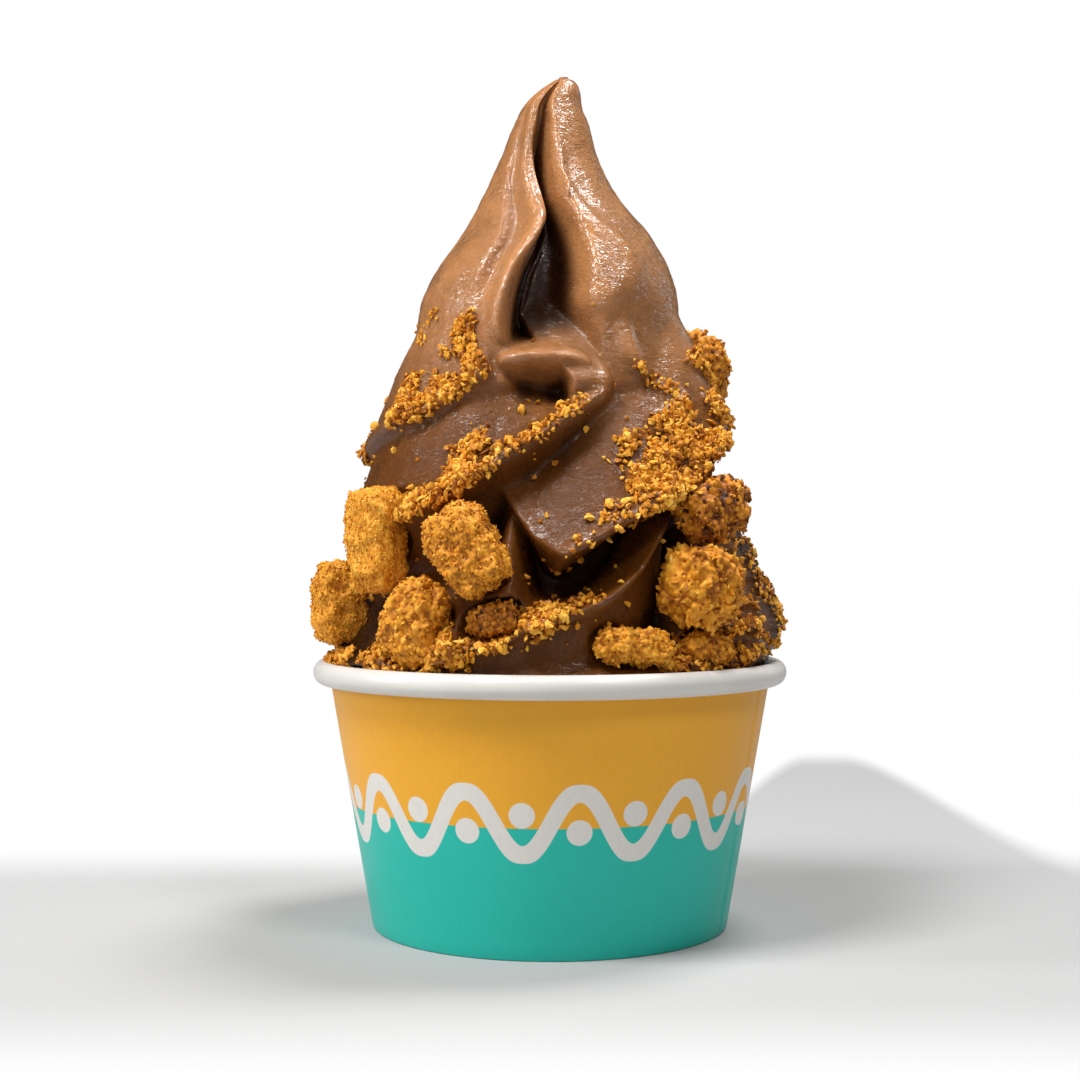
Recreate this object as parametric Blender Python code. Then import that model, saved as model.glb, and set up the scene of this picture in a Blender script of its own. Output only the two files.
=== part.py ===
"""A small paper cup of chocolate frozen yogurt, swirled to a tall peak, with crumbed biscuit pieces.

The cup stands on z = 0 with its axis on Z, and the front of the serving faces -Y.
Sizes are in millimetres and angles in degrees until they reach a mesh. An azimuth is measured
round the axis from the front, positive towards +X.
"""

import math
from collections import namedtuple

import bmesh
import bpy
import numpy as np
from mathutils import Euler, Matrix, Vector, noise

MM = 0.001

# Paper cup
RIM_RADIUS = 46.0
BASE_RADIUS = 34.5
CUP_HEIGHT = 51.5
PAPER = 0.5
BEAD_HALF_WIDTH = 1.9
BEAD_HALF_HEIGHT = 2.2
NECK_OVERLAP = 0.6
BASE_RECESS = 5.0
SKIRT = 1.5
FOOT_ROUND = 0.35
CUP_SEGMENTS = 48
BEAD_STEPS = 10

# Space kept between one piece and the next
GAP = 0.45

# Swirl
PEAK_HEIGHT = 165.3
SWIRL_COLUMNS = 150
SWIRL_ROWS = 190
SWIRL_TRIANGLES = 4450
CREASE_BLEND = 0.7
# Steps in height along which a column is measured, and how often the columns are evened out
FINE_ROWS = 900
SMOOTHING_PASSES = 3
# The skin's rows start so far below the rim
WALL_SHOWN = 2
# Above the rim the swirl spreads by so much for each millimetre, from a little above it, and the
# corner between the two is rounded by so much
RIM_SPREAD = 5
RIM_LIFT = 0.1
RIM_BLEND = 0.05

# Steps of the search for where a ray meets a biscuit
RAY_STEP = 0.25

# Crumbs pressed into the swirl: their least and greatest radius, and how deep they are sunk
CRUMB_SEED = 7
CRUMB_RADII = (0.8, 1.7)
CRUMB_SINK = 0.4
CRUMB_TRIES = 6
# The step, in degrees and in millimetres, over which a surface normal is taken
NORMAL_STEP = 0.6
CRUMB_STRETCH = (0.75, 1.0)

NECK_RADIUS = RIM_RADIUS - 2 * BEAD_HALF_WIDTH + PAPER
BEAD_HEIGHT = CUP_HEIGHT - BEAD_HALF_HEIGHT
NECK_HEIGHT = CUP_HEIGHT - 2 * BEAD_HALF_HEIGHT + NECK_OVERLAP


# A lip of the swirl: stations run from the lip's left end to its right end as (azimuth, height,
# radius, rise, under). The lip stands proud by bead over a band of half-width width. Above it the
# face draws in by rise, and below it by under, in millimetres for each millimetre of height. The
# ends fade out over so many degrees, and the left end leans over by so many degrees for each
# millimetre above the lip.
Fold = namedtuple("Fold", "stations bead width fade lean", defaults=(0,))

SHELF = Fold(
    ((-30, 105.5, 25.3, 1, 1), (-18, 107.3, 26, 1.8, 1.1), (-9, 107.9, 26.2, 2.5, 1.2),
     (0, 107.9, 26.4, 2.5, 1.2), (9, 107.6, 26.2, 2.5, 1.2), (16, 106.6, 25.6, 2, 1),
     (24, 105, 24.5, 1.6, 0.8)), 2.6, 3.4, (12, 10))
# the bend at the right end of the shelf, where it turns down into the fold that crosses the front
BEND = Fold(
    ((0, 104.2, 26.2, 0.9, 0.5), (12, 103.4, 27.4, 0.9, 0.5), (22, 103.0, 27.2, 0.8, 0.4),
     (40, 102, 25.5, 0.7, 0.3)), 2.4, 5.0, (9, 20), 1.5)
LEDGE = Fold(
    ((-200, 74, 38, 0.4, 1), (-120, 88, 36, 0.4, 1), (-71, 95, 34.2, 0.4, 0.9),
     (-60, 96.7, 33.4, 0.4, 0.8), (-41, 100, 31.3, 0.42, 0.7), (-23, 106, 28.6, 0.45, 0.6),
     (-15, 109, 27.2, 0.5, 0.6)), 1.0, 2.2, (25, 10))
CROSS_FOLD = Fold(
    ((-170, 61, 40.5, 0.34, 0.45), (-100, 78.5, 38, 0.34, 0.45), (-69, 80, 37, 0.34, 0.45),
     (-44, 79, 37.2, 0.36, 0.6), (-27, 84, 35.4, 0.42, 0.8), (-15, 88.6, 33.7, 0.75, 0.9),
     (-3, 93, 31.6, 1.3, 0.9), (7, 97, 29.8, 2.0, 0.8), (14, 99.8, 28.6, 1.5, 0.7),
     (22, 102, 27.6, 0.9, 0.6), (36, 104.5, 26.6, 0.6, 0.4)), 2.5, 3.2, (25, 18))
LOBE_SKIRT = Fold(
    ((19, 110.5, 25.2, 0.4, 0.2), (28, 109.2, 27.0, 0.4, 0.2), (38, 106.8, 29.0, 0.4, 0.2),
     (48, 103.5, 31, 0.4, 0.2), (62, 101, 32.5, 0.5, 0.3)), 0.2, 3.0, (10, 30))
MAIN_FOLD = Fold(
    ((-4, 69.2, 39.8, 0.62, 4), (12, 75, 39.6, 0.62, 4.5), (24, 79.6, 39, 0.58, 4),
     (38, 84, 38, 0.55, 2), (48, 87, 37.2, 0.5, 1), (57, 91.3, 36, 0.45, 0.6),
     (72, 97, 34.3, 0.42, 0.3), (100, 98, 32.8, 0.42, 0.3), (150, 104, 30, 0.42, 0.8),
     (200, 112, 25, 0.42, 0.9)), 1.4, 2.2, (8, 30), 1.35)
LOW_FOLD = Fold(
    ((-135, 48, 41, 0.6, 0.25), (-90, 51, 42, 0.55, 0.25), (-60, 51.5, 42, 0.55, 0.25),
     (-30, 54, 41.6, 0.7, 0.25), (-20, 56.2, 41.6, 0.7, 0.25), (-7, 59.2, 41.2, 1.2, 0.25),
     (2, 61.2, 40.8, 6, 0.25), (12, 63.8, 40, 9, 0.25), (22, 68.4, 38.2, 9, 0.25),
     (30, 73.5, 35.8, 5, 0.2), (38, 78, 33, 3, 0.1), (50, 80, 29, 3, 0)), 1.6, 2.0, (20, 12))
RIGHT_SWELLING = Fold(
    ((30, 53, 40.5, 1.2, 0.15), (45, 55, 42, 0.8, 0.15), (60, 57, 43, 0.5, 0.2),
     (90, 60, 44.3, 0.45, 0.3), (130, 66, 43, 0.5, 0.5), (180, 78, 39, 0.5, 0.8),
     (235, 92, 34.5, 0.5, 0.9)), 1.0, 3.0, (10, 30))
BACK_FOLD = Fold(
    ((120, 50, 42, 0.6, 0.2), (165, 58, 42.5, 0.6, 0.5), (215, 66, 41, 0.6, 0.8), (262, 74, 38, 0.6, 0.9)),
    1.2, 2.6, (20, 20))
FOLDS = (SHELF, BEND, LEDGE, CROSS_FOLD, LOBE_SKIRT, MAIN_FOLD, LOW_FOLD, RIGHT_SWELLING, BACK_FOLD)
# How far a fold draws in where its end has faded out
END_DROP = 16
# From this far above its lip a fold's face curves inwards, by so much for each square millimetre
CURL_HEIGHT = 12
CURL = 0.012

# A flute of the peak: (height, azimuth, half-width in degrees, depth as a share of the radius). A
# ridge is a flute of negative depth.
CENTRAL_FLUTE = (
    (165, -16, 6, 0.1), (162, -14, 7, 0.35), (157, -11, 11, 0.6), (151.5, -9, 11.5, 0.68),
    (144.7, -2.6, 9, 0.68), (140, 1, 7, 0.62), (136, 3, 7.4, 0.58), (132.5, 3.2, 9.6, 0.52),
    (129, 3.5, 12, 0.48), (124, 1.9, 14.6, 0.46), (119, 1.2, 15.4, 0.46), (114, 3.2, 17, 0.48),
    (104, 3.2, 17, 0.40))
# the dark slot down the flute's left side
SLOT = (
    (150, -4, 5, 0), (144, -2, 5, 0.2), (140, 0.5, 4.5, 0.34), (136, 0, 4, 0.38),
    (132.5, -2.2, 3.6, 0.36), (129, -6, 2.8, 0.3), (124.5, -11, 2.2, 0.22), (119, -12.5, 2.4, 0.16),
    (112, -12, 3, 0.1), (108, -12, 3, 0))
LEFT_RIDGE = (
    (165, -34, 9, 0), (158, -37, 9, -0.10), (151.4, -31, 8, -0.10), (144.7, -24.5, 7, -0.09),
    (139.3, -16, 6, -0.10), (135, -11, 5.5, -0.12), (130.7, -12.5, 5, -0.12), (126, -17, 5, -0.11),
    (121, -18.5, 5.5, -0.10), (115, -18, 6.5, -0.08), (108, -18, 7, 0))
LEFT_CREASE = (
    (165, -52, 8, 0), (155, -46, 7, 0.04), (147, -39, 6, 0.09), (141, -33, 6, 0.12),
    (135.6, -26.5, 5.5, 0.12), (130.3, -24.5, 5, 0.11), (125.9, -26, 5, 0.08), (119, -27, 6, 0.04),
    (112, -27, 6, 0))
RIGHT_RIDGE = (
    (155, 8, 8, 0), (150, 8, 7, -0.05), (140.4, 13, 7, -0.05), (134.4, 20, 8, -0.05),
    (131, 30, 9, -0.05), (127, 37, 10, -0.05), (122, 33, 10, -0.04), (116, 24, 10, 0))
INNER_RIDGE = (
    (146, 9, 2.4, 0), (141.5, 8.5, 2.4, -0.16), (137, 5.5, 2.4, -0.22), (133.5, 2.4, 2.4, -0.22),
    (129.3, -2.5, 2.4, -0.20), (124.5, -7.8, 2.4, -0.17), (119, -9.5, 2.4, -0.12), (114, -9, 2.6, 0))
SIDE_FLUTE = (
    (165, 110, 18, 0.03), (150, 112, 16, 0.30), (130, 118, 16, 0.34), (114, 126, 20, 0.25),
    (104, 132, 22, 0))
BACK_FLUTE = (
    (165, 180, 18, 0.03), (150, 184, 16, 0.36), (130, 190, 16, 0.40), (112, 200, 20, 0.25),
    (100, 206, 22, 0))
LEFT_FLUTE = (
    (165, 250, 16, 0.03), (150, 252, 14, 0.22), (130, 258, 14, 0.26), (112, 268, 16, 0.15),
    (98, 274, 18, 0))
# Each flute with how square its sides are
FLUTES = (
    (CENTRAL_FLUTE, 6.0), (SLOT, 3.0), (LEFT_RIDGE, 2.4), (LEFT_CREASE, 2.4), (RIGHT_RIDGE, 2.6),
    (INNER_RIDGE, 2.2), (SIDE_FLUTE, 2.6), (BACK_FLUTE, 2.6), (LEFT_FLUTE, 2.6))

# The peak's outline as (height, reach to the left, reach to the right)
PEAK_OUTLINE = (
    (97, 31.0, 28.0), (108, 29.0, 24.5), (114, 27.8, 24.2), (120, 26.0, 25.0), (127.6, 22.0, 23.2),
    (133.5, 17.6, 20.0), (141.3, 13.3, 13.6), (149.2, 9.7, 9.6), (155, 7.3, 8.0), (160, 4.9, 6.2),
    (162.5, 2.3, 5.9), (163.9, 0.3, 5.4), (164.8, -1.2, 4.4), (165.3, -2.6, 3.2),
)
# Between these heights the outline's lean to one side sets in
PEAK_LEAN = (100, 125)
# The rays that draw the peak start so far left of its middle, or at this share of its radius if that
# is less, and the shift sets in between these heights. The folds there lie about so far from the axis.
PEAK_SHIFT = 5.5
SHIFT_SHARE = 0.4
SHIFT_HEIGHTS = (103, 112)
HIGH_FOLD_REACH = 28
# Below these heights the peak gives way to the folds, by so much
PEAK_FOOT = (92, 104)
PEAK_FOOT_DROP = 14

# The solid heart of the swirl as (height, radius)
HEART = (
    (5, 44), (42, 44), (51, 40.5), (56, 35), (62, 29), (66, 26.5), (78, 24), (90, 22), (100, 19), (108, 15),
    (116, 8), (126, 0), (140, -12))

# A biscuit piece: azimuth, distance from the axis and height of its middle, its width, height and
# depth, its turn in its own plane and about the vertical, how square it is, and how much wider it is
# at the top than in the middle
Biscuit = namedtuple("Biscuit", "name azimuth reach height size roll yaw square taper")

BISCUITS = (
    Biscuit("biscuit_left_outer", -74, 41.3, 63.0, (8.8, 15.5, 9.5), 4, 10, 4.2, -0.10),
    Biscuit("biscuit_left_upper", -52, 40.3, 74.8, (10.2, 19.0, 8.5), -2, 12, 4.6, 0.14),
    Biscuit("biscuit_centre", -21, 41.0, 73.0, (10.8, 15.6, 9.5), -33, 0, 4.6, 0.04),
    Biscuit("biscuit_left_lower", -36.5, 40.3, 60.3, (12.0, 15.5, 9.5), 22, 0, 2.6, -0.22),
    Biscuit("biscuit_tucked", -15.5, 37.0, 60.4, (10.0, 6.4, 6.0), -16, 0, 2.4, 0.0),
    Biscuit("biscuit_high_back", 116, 32.0, 107.5, (15.0, 18.5, 13.0), -20, 0, 2.6, 0.1),
    Biscuit("biscuit_right_upper", 50, 38.8, 80.2, (16.0, 11.5, 10.0), -12, 0, 2.6, 0.08),
    Biscuit("biscuit_right_lower", 42, 40.6, 66.2, (15.0, 14.0, 12.0), 14, 0, 3.0, 0.08),
    Biscuit("biscuit_rim_front", 21.5, 39.6, 56.0, (15.0, 6.6, 6.0), 5, 0, 2.5, 0.0),
    Biscuit("biscuit_rim_right", 46, 39.8, 55.2, (12.0, 5.6, 6.0), 8, 0, 2.4, 0.0),
    Biscuit("biscuit_back_low", 158, 41.0, 62.0, (14.0, 13.0, 10.0), 20, 0, 3.0, 0.1),
    Biscuit("biscuit_back_mid", 196, 39.5, 76.0, (13.0, 15.0, 10.0), -16, 0, 3.6, -0.1),
    Biscuit("biscuit_back_left", 238, 41.5, 62.5, (15.0, 12.0, 11.0), 35, 0, 3.0, 0.08),
)
# Depth and size of a biscuit's lumps, and how much the noise that makes them is raised
BISCUIT_ROUGHNESS = 0.55
BISCUIT_LUMP = 2.4
LUMP_GAIN = 2
BISCUIT_DETAIL = 3

# Where crumbs lie thick: the middle's azimuth and height, the half-spans in degrees and
# millimetres, the slope in millimetres for each degree, and how many there are
Patch = namedtuple("Patch", "azimuth height span tall slope count")

PATCHES = (
    Patch(-40, 104.5, 18, 3.5, 0.25, 16),
    Patch(-27, 86.5, 18, 1.6, 0.30, 16),
    Patch(46, 91.0, 24, 6.0, 0.30, 20),
    Patch(14, 76.0, 13, 1.5, 0.40, 6),
    Patch(-12, 60.0, 18, 1.6, 0.25, 9),
    Patch(82, 64.0, 16, 8.0, 0.0, 8),
    Patch(180, 84.0, 80, 22.0, 0.05, 16),
)


def smooth_line(at, stations, column):
    """The value of one column of the stations at each place, on a curve with no corner."""
    table = np.array(sorted(stations), float)
    xs = table[:, 0]
    slopes = np.gradient(table, xs, axis=0)
    at = np.clip(at, xs[0], xs[-1])
    i = np.clip(np.searchsorted(xs, at) - 1, 0, len(xs) - 2)
    span = xs[i + 1] - xs[i]
    t = (at - xs[i]) / span
    return (
        (1 + 2 * t) * (1 - t) ** 2 * table[i, column]
        + t * (1 - t) ** 2 * span * slopes[i, column]
        + t * t * (3 - 2 * t) * table[i + 1, column]
        + t * t * (t - 1) * span * slopes[i + 1, column]
    )


def smooth_step(low, high, value):
    t = np.clip((value - low) / (high - low), 0, 1)
    return t * t * (3 - 2 * t)


def soft_max(a, b, blend):
    """The larger of two, with the crease between them rounded."""
    return 0.5 * (a + b + np.sqrt((a - b) ** 2 + blend * blend))


def soft_min(a, b, blend):
    return -soft_max(-a, -b, blend)


def cup_inner_radius(height):
    """The inside of the paper wall, and above the neck the inside of the rolled rim."""
    wall = BASE_RADIUS + (NECK_RADIUS - BASE_RADIUS) * height / NECK_HEIGHT - PAPER
    return np.minimum(wall, RIM_RADIUS - 2 * BEAD_HALF_WIDTH)


def fold_radius(fold, azimuth, height):
    """How far one fold reaches from the axis at each azimuth and height."""
    first, last = fold.stations[0][0], fold.stations[-1][0]
    middle = (first + last) / 2
    along = middle + (azimuth - middle + 180) % 360 - 180
    above = height - smooth_line(along, fold.stations, 1)
    lip = smooth_line(along, fold.stations, 2)
    slope = smooth_line(along, fold.stations, np.where(above > 0, 3, 4))
    rounding = fold.width / 2
    bend = np.sqrt(above * above + rounding**2) - rounding
    bead = fold.bead * np.exp(-((above / fold.width) ** 2))
    left_end = first - fold.lean * np.maximum(above, 0)
    shown = smooth_step(0, fold.fade[0], along - left_end) * smooth_step(0, fold.fade[1], last - along)
    curl = CURL * np.maximum(above - CURL_HEIGHT, 0) ** 2
    return lip + bead - slope * bend - curl - END_DROP * (1 - shown)


def peak_circle(height):
    """The peak's outline at each height, as the place of a circle along X and its radius."""
    left = smooth_line(height, PEAK_OUTLINE, 1)
    right = smooth_line(height, PEAK_OUTLINE, 2)
    return (right - left) / 2 * smooth_step(*PEAK_LEAN, height), (left + right) / 2


def ray_origin(height):
    """Where along X the rays start that draw the swirl: left of the peak's middle, so that the
    left wall of its flute hangs over and the right one lies open."""
    middle, radius = peak_circle(height)
    shift = PEAK_SHIFT * smooth_step(*SHIFT_HEIGHTS, height)
    return middle - np.minimum(shift, SHIFT_SHARE * radius)


def azimuth_about(centre, origin, azimuth, reach):
    """The azimuth about a centre on X of the point at so far along the ray from the origin."""
    turn = np.radians(azimuth)
    return np.degrees(np.arctan2(origin + reach * np.sin(turn) - centre, reach * np.cos(turn)))


def reach_to_circle(centre, radius, origin, azimuth):
    """How far the ray from the origin goes before it meets a circle about a centre on X. A fold
    that isn't there has a radius below the distance between the two, and keeps it."""
    turn = np.radians(azimuth)
    off = centre - origin
    room = radius**2 - (off * np.cos(turn)) ** 2
    met = off * np.sin(turn) + np.sqrt(np.maximum(room, 1))
    return np.where(radius > np.abs(off) + 1, met, radius - np.abs(off))


def peak_reach(azimuth, height, origin):
    """How far the fluted peak reaches along each ray."""
    middle, radius = peak_circle(height)
    radius = np.maximum(radius, 1)
    reach = reach_to_circle(middle, radius, origin, azimuth)
    around = azimuth_about(middle, origin, azimuth, reach)
    for flute, squareness in FLUTES:
        at = smooth_line(height, flute, 1)
        width = smooth_line(height, flute, 2)
        depth = smooth_line(height, flute, 3)
        off = (around - at + 180) % 360 - 180
        reach = reach * (1 - depth * np.exp(-np.abs(off / width) ** squareness))
    return reach - PEAK_FOOT_DROP * (1 - smooth_step(*PEAK_FOOT, height))


def fold_reach(fold, azimuth, height, origin):
    """How far a fold, which winds round the cup's axis, reaches along each ray."""
    around = azimuth_about(0, origin, azimuth, reach_to_circle(0, HIGH_FOLD_REACH, origin, azimuth))
    return reach_to_circle(0, fold_radius(fold, around, height), origin, azimuth)


def biscuit_frame(biscuit):
    """The matrix that puts a biscuit in its place: depth along local Y, height along local Z."""
    turn = math.radians(biscuit.azimuth)
    place = Vector((biscuit.reach * math.sin(turn), -biscuit.reach * math.cos(turn), biscuit.height))
    spin = Euler((0, 0, turn + math.radians(biscuit.yaw))).to_matrix()
    roll = Euler((0, math.radians(biscuit.roll), 0)).to_matrix()
    return Matrix.Translation(place) @ (spin @ roll).to_4x4()


def biscuit_entry(biscuit, azimuth, height, centre_x):
    """How far a ray from the axis can go before it meets the biscuit with its relief and gap."""
    width, tall, deep = biscuit.size
    half = np.array((width, deep, tall)) / 2 + BISCUIT_ROUGHNESS + GAP
    span = np.linalg.norm(half)
    side = np.radians((azimuth - biscuit.azimuth + 180) % 360 - 180) * biscuit.reach
    near = (np.abs(height - biscuit.height) < span) & (np.abs(side) < 2 * span)
    reach = np.full(azimuth.shape, np.inf)
    if not near.any():
        return reach
    inverse = np.array(biscuit_frame(biscuit).inverted())
    turn, level, middle = np.radians(azimuth[near]), height[near], centre_x[near]
    flat = np.zeros_like(level)
    origin = np.stack([middle, flat, level, flat + 1], -1) @ inverse.T
    ray = np.stack([np.sin(turn), -np.cos(turn), flat, flat], -1) @ inverse.T
    entry = np.full(level.shape, np.inf)
    for step in np.arange(biscuit.reach + span, biscuit.reach - span - RAY_STEP, -RAY_STEP):
        at = (origin + step * ray)[..., :3] / half
        at[..., 0] /= 1 + biscuit.taper * np.clip(at[..., 2], -1, 1)
        entry = np.where((np.abs(at) ** biscuit.square).sum(-1) < 1, step, entry)
    reach[near] = entry - RAY_STEP
    return reach


def swirl_radius(azimuth, height):
    """The radius of the whole serving at each azimuth and height, before the biscuits press in."""
    origin = ray_origin(height)
    radius = smooth_line(height, HEART, 1)
    for fold in FOLDS:
        radius = soft_max(radius, fold_reach(fold, azimuth, height, origin), CREASE_BLEND)
    radius = soft_max(radius, peak_reach(azimuth, height, origin), CREASE_BLEND)
    inside = cup_inner_radius(height) - GAP
    over_rim = np.maximum(height - CUP_HEIGHT - RIM_LIFT, 0)
    return soft_min(radius, inside + RIM_SPREAD * over_rim, RIM_BLEND)


def pressed_radius(azimuth, height):
    """The radius of the serving with the biscuits pressed into it."""
    radius = swirl_radius(azimuth, height)
    for biscuit in BISCUITS:
        radius = np.minimum(radius, biscuit_entry(biscuit, azimuth, height, ray_origin(height)))
    return radius


def swirl_points(azimuth, height, radius):
    turn = np.radians(azimuth)
    return np.stack([ray_origin(height) + radius * np.sin(turn), -radius * np.cos(turn), height], -1)


def swirl_normals(azimuth, height):
    """Unit normals of the serving, from points a little to each side of a place."""
    def at(turned, raised):
        place = azimuth + turned, height + raised
        return swirl_points(*place, pressed_radius(*place))

    across = at(NORMAL_STEP, 0) - at(-NORMAL_STEP, 0)
    upwards = at(0, NORMAL_STEP) - at(0, -NORMAL_STEP)
    normal = np.cross(across, upwards)
    return normal / np.linalg.norm(normal, axis=-1, keepdims=True)


def swirl_rows(radius_of, azimuths, low, high, rows):
    """Heights for each column of the mesh, evenly spaced along the surface, not along the axis."""
    fine = np.linspace(low, high, FINE_ROWS)
    heights = np.empty((len(azimuths), rows))
    for i, azimuth in enumerate(azimuths):
        radius = radius_of(np.full_like(fine, azimuth), fine)
        steps = np.hypot(np.diff(radius), np.diff(fine))
        along = np.concatenate([[0], np.cumsum(steps)])
        heights[i] = np.interp(np.linspace(0, along[-1], rows), along, fine)
    for _ in range(SMOOTHING_PASSES):
        heights = (np.roll(heights, 1, 0) + 2 * heights + np.roll(heights, -1, 0)) / 4
    return heights


def new_object(name, bm, material):
    mesh = bpy.data.meshes.new(name)
    bm.to_mesh(mesh)
    bm.free()
    mesh.materials.append(material)
    thing = bpy.data.objects.new(name, mesh)
    bpy.context.scene.collection.objects.link(thing)
    return thing


def new_material(name, colour, roughness):
    material = bpy.data.materials.new(name)
    material.use_nodes = True
    shader = material.node_tree.nodes["Principled BSDF"]
    shader.inputs["Base Color"].default_value = (*colour, 1)
    shader.inputs["Roughness"].default_value = roughness
    return material


def make_cup(material):
    """The paper cup: tapered wall, rolled rim and a base disc set up inside the skirt."""
    centre = RIM_RADIUS - BEAD_HALF_WIDTH
    profile = [
        (0, BASE_RECESS),
        (BASE_RADIUS - SKIRT, BASE_RECESS),
        (BASE_RADIUS - SKIRT, FOOT_ROUND),
        (BASE_RADIUS - SKIRT + FOOT_ROUND, 0),
        (BASE_RADIUS - FOOT_ROUND, 0),
        (BASE_RADIUS, FOOT_ROUND),
        (NECK_RADIUS, NECK_HEIGHT),
    ]
    up, across = (NECK_HEIGHT - BEAD_HEIGHT) / BEAD_HALF_HEIGHT, (NECK_RADIUS - centre) / BEAD_HALF_WIDTH
    start = math.atan2(up, across)
    sweep = math.radians(180) - start
    for step in range(1, BEAD_STEPS + 1):
        angle = start + sweep * step / BEAD_STEPS
        across, up = BEAD_HALF_WIDTH * math.cos(angle), BEAD_HALF_HEIGHT * math.sin(angle)
        profile.append((centre + across, BEAD_HEIGHT + up))
    floor = BASE_RECESS + PAPER
    profile += [(cup_inner_radius(height), height) for height in (NECK_HEIGHT, floor)]
    profile.append((0, floor))
    bm = bmesh.new()
    ring = [bm.verts.new((r * MM, 0, z * MM)) for r, z in profile]
    edges = [bm.edges.new(pair) for pair in zip(ring, ring[1:])]
    bmesh.ops.spin(bm, geom=ring + edges, axis=(0, 0, 1), cent=(0, 0, 0), angle=math.tau, steps=CUP_SEGMENTS)
    bmesh.ops.remove_doubles(bm, verts=bm.verts, dist=1e-6)
    bmesh.ops.recalc_face_normals(bm, faces=bm.faces)
    return new_object("cup", bm, material)


def make_swirl(material):
    """The yogurt as one closed skin, from the floor of the cup to the tip."""
    azimuths = np.arange(SWIRL_COLUMNS) * 360 / SWIRL_COLUMNS - 180
    floor = BASE_RECESS + PAPER + GAP
    rows = swirl_rows(swirl_radius, azimuths, CUP_HEIGHT - WALL_SHOWN, PEAK_HEIGHT, SWIRL_ROWS)
    rows = np.concatenate([np.full((len(azimuths), 1), floor), rows], 1)
    azimuth = np.repeat(azimuths[:, None], rows.shape[1], 1)
    points = swirl_points(azimuth, rows, pressed_radius(azimuth, rows)) * MM
    bm = bmesh.new()
    grid = [[bm.verts.new(p) for p in column] for column in points]
    for left, right in zip(grid, grid[1:] + grid[:1]):
        for j in range(len(left) - 1):
            bm.faces.new((left[j], right[j], right[j + 1], left[j + 1]))
    bm.faces.new([column[0] for column in reversed(grid)])
    bm.faces.new([column[-1] for column in grid])
    bmesh.ops.triangulate(bm, faces=bm.faces)
    bmesh.ops.recalc_face_normals(bm, faces=bm.faces)
    swirl = new_object("frozen_yogurt", bm, material)
    thin = swirl.modifiers.new("fewer_faces", "DECIMATE")
    thin.ratio = SWIRL_TRIANGLES / len(swirl.data.polygons)
    return swirl


def clear_of_biscuits(point, radius):
    """Whether a crumb of this radius stays clear of every biscuit."""
    for biscuit in BISCUITS:
        width, tall, deep = biscuit.size
        at = biscuit_frame(biscuit).inverted() @ Vector(point)
        spare = radius + BISCUIT_ROUGHNESS + GAP
        half = (width / 2 + spare, deep / 2 + spare, tall / 2 + spare)
        at.x /= 1 + biscuit.taper * max(-1, min(1, at.z / half[2]))
        if sum(abs(a / h) ** biscuit.square for a, h in zip(at, half)) < 1:
            return False
    return True


def clear_of_rim(point, radius):
    """Whether a crumb stays inside the rolled rim, or well above it."""
    reach = math.hypot(point[0], point[1]) + radius
    if point[2] - radius < CUP_HEIGHT + GAP:
        return reach < RIM_RADIUS - 2 * BEAD_HALF_WIDTH - GAP
    return reach < RIM_RADIUS


def crumb_places():
    """Where the crumbs lie, as points and radii, none touching another crumb or a biscuit."""
    rng = np.random.default_rng(CRUMB_SEED)
    places = []
    for patch in PATCHES:
        tries = patch.count * CRUMB_TRIES
        side, up = rng.uniform(-1, 1, (2, tries))
        radii = rng.uniform(*CRUMB_RADII, tries)
        azimuth = patch.azimuth + patch.span * side
        height = patch.height + patch.slope * patch.span * side + patch.tall * up
        points = swirl_points(azimuth, height, pressed_radius(azimuth, height))
        points += swirl_normals(azimuth, height) * ((1 - 2 * CRUMB_SINK) * radii)[:, None]
        wanted = len(places) + patch.count
        for point, radius in zip(points, radii):
            apart = all(math.dist(point, other) > radius + reach + GAP for other, reach in places)
            if apart and clear_of_biscuits(point, radius) and clear_of_rim(point, radius):
                places.append((point, radius))
            if len(places) == wanted:
                break
    return places


def fuse_crumbs(swirl, material):
    """Joins small crumbs to the skin of the swirl."""
    rng = np.random.default_rng(CRUMB_SEED)
    crumbs = bpy.data.collections.new("crumbs")
    bpy.context.scene.collection.children.link(crumbs)
    for point, radius in crumb_places():
        bm = bmesh.new()
        bmesh.ops.create_icosphere(bm, subdivisions=1, radius=radius * MM)
        stretch = Matrix.Diagonal((*rng.uniform(*CRUMB_STRETCH, 3), 1))
        turn = Euler(rng.uniform(0, math.tau, 3)).to_matrix().to_4x4()
        bm.transform(Matrix.Translation(Vector(point) * MM) @ turn @ stretch)
        crumb = new_object("crumb", bm, material)
        bpy.context.scene.collection.objects.unlink(crumb)
        crumbs.objects.link(crumb)
    union = swirl.modifiers.new("crumbs", "BOOLEAN")
    union.operation = "UNION"
    union.operand_type = "COLLECTION"
    union.collection = crumbs
    fused = swirl.evaluated_get(bpy.context.evaluated_depsgraph_get())
    mesh = bpy.data.meshes.new_from_object(fused)
    swirl.modifiers.clear()
    swirl.data = mesh
    for crumb in list(crumbs.objects):
        bpy.data.objects.remove(crumb)
    bpy.data.collections.remove(crumbs)


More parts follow.
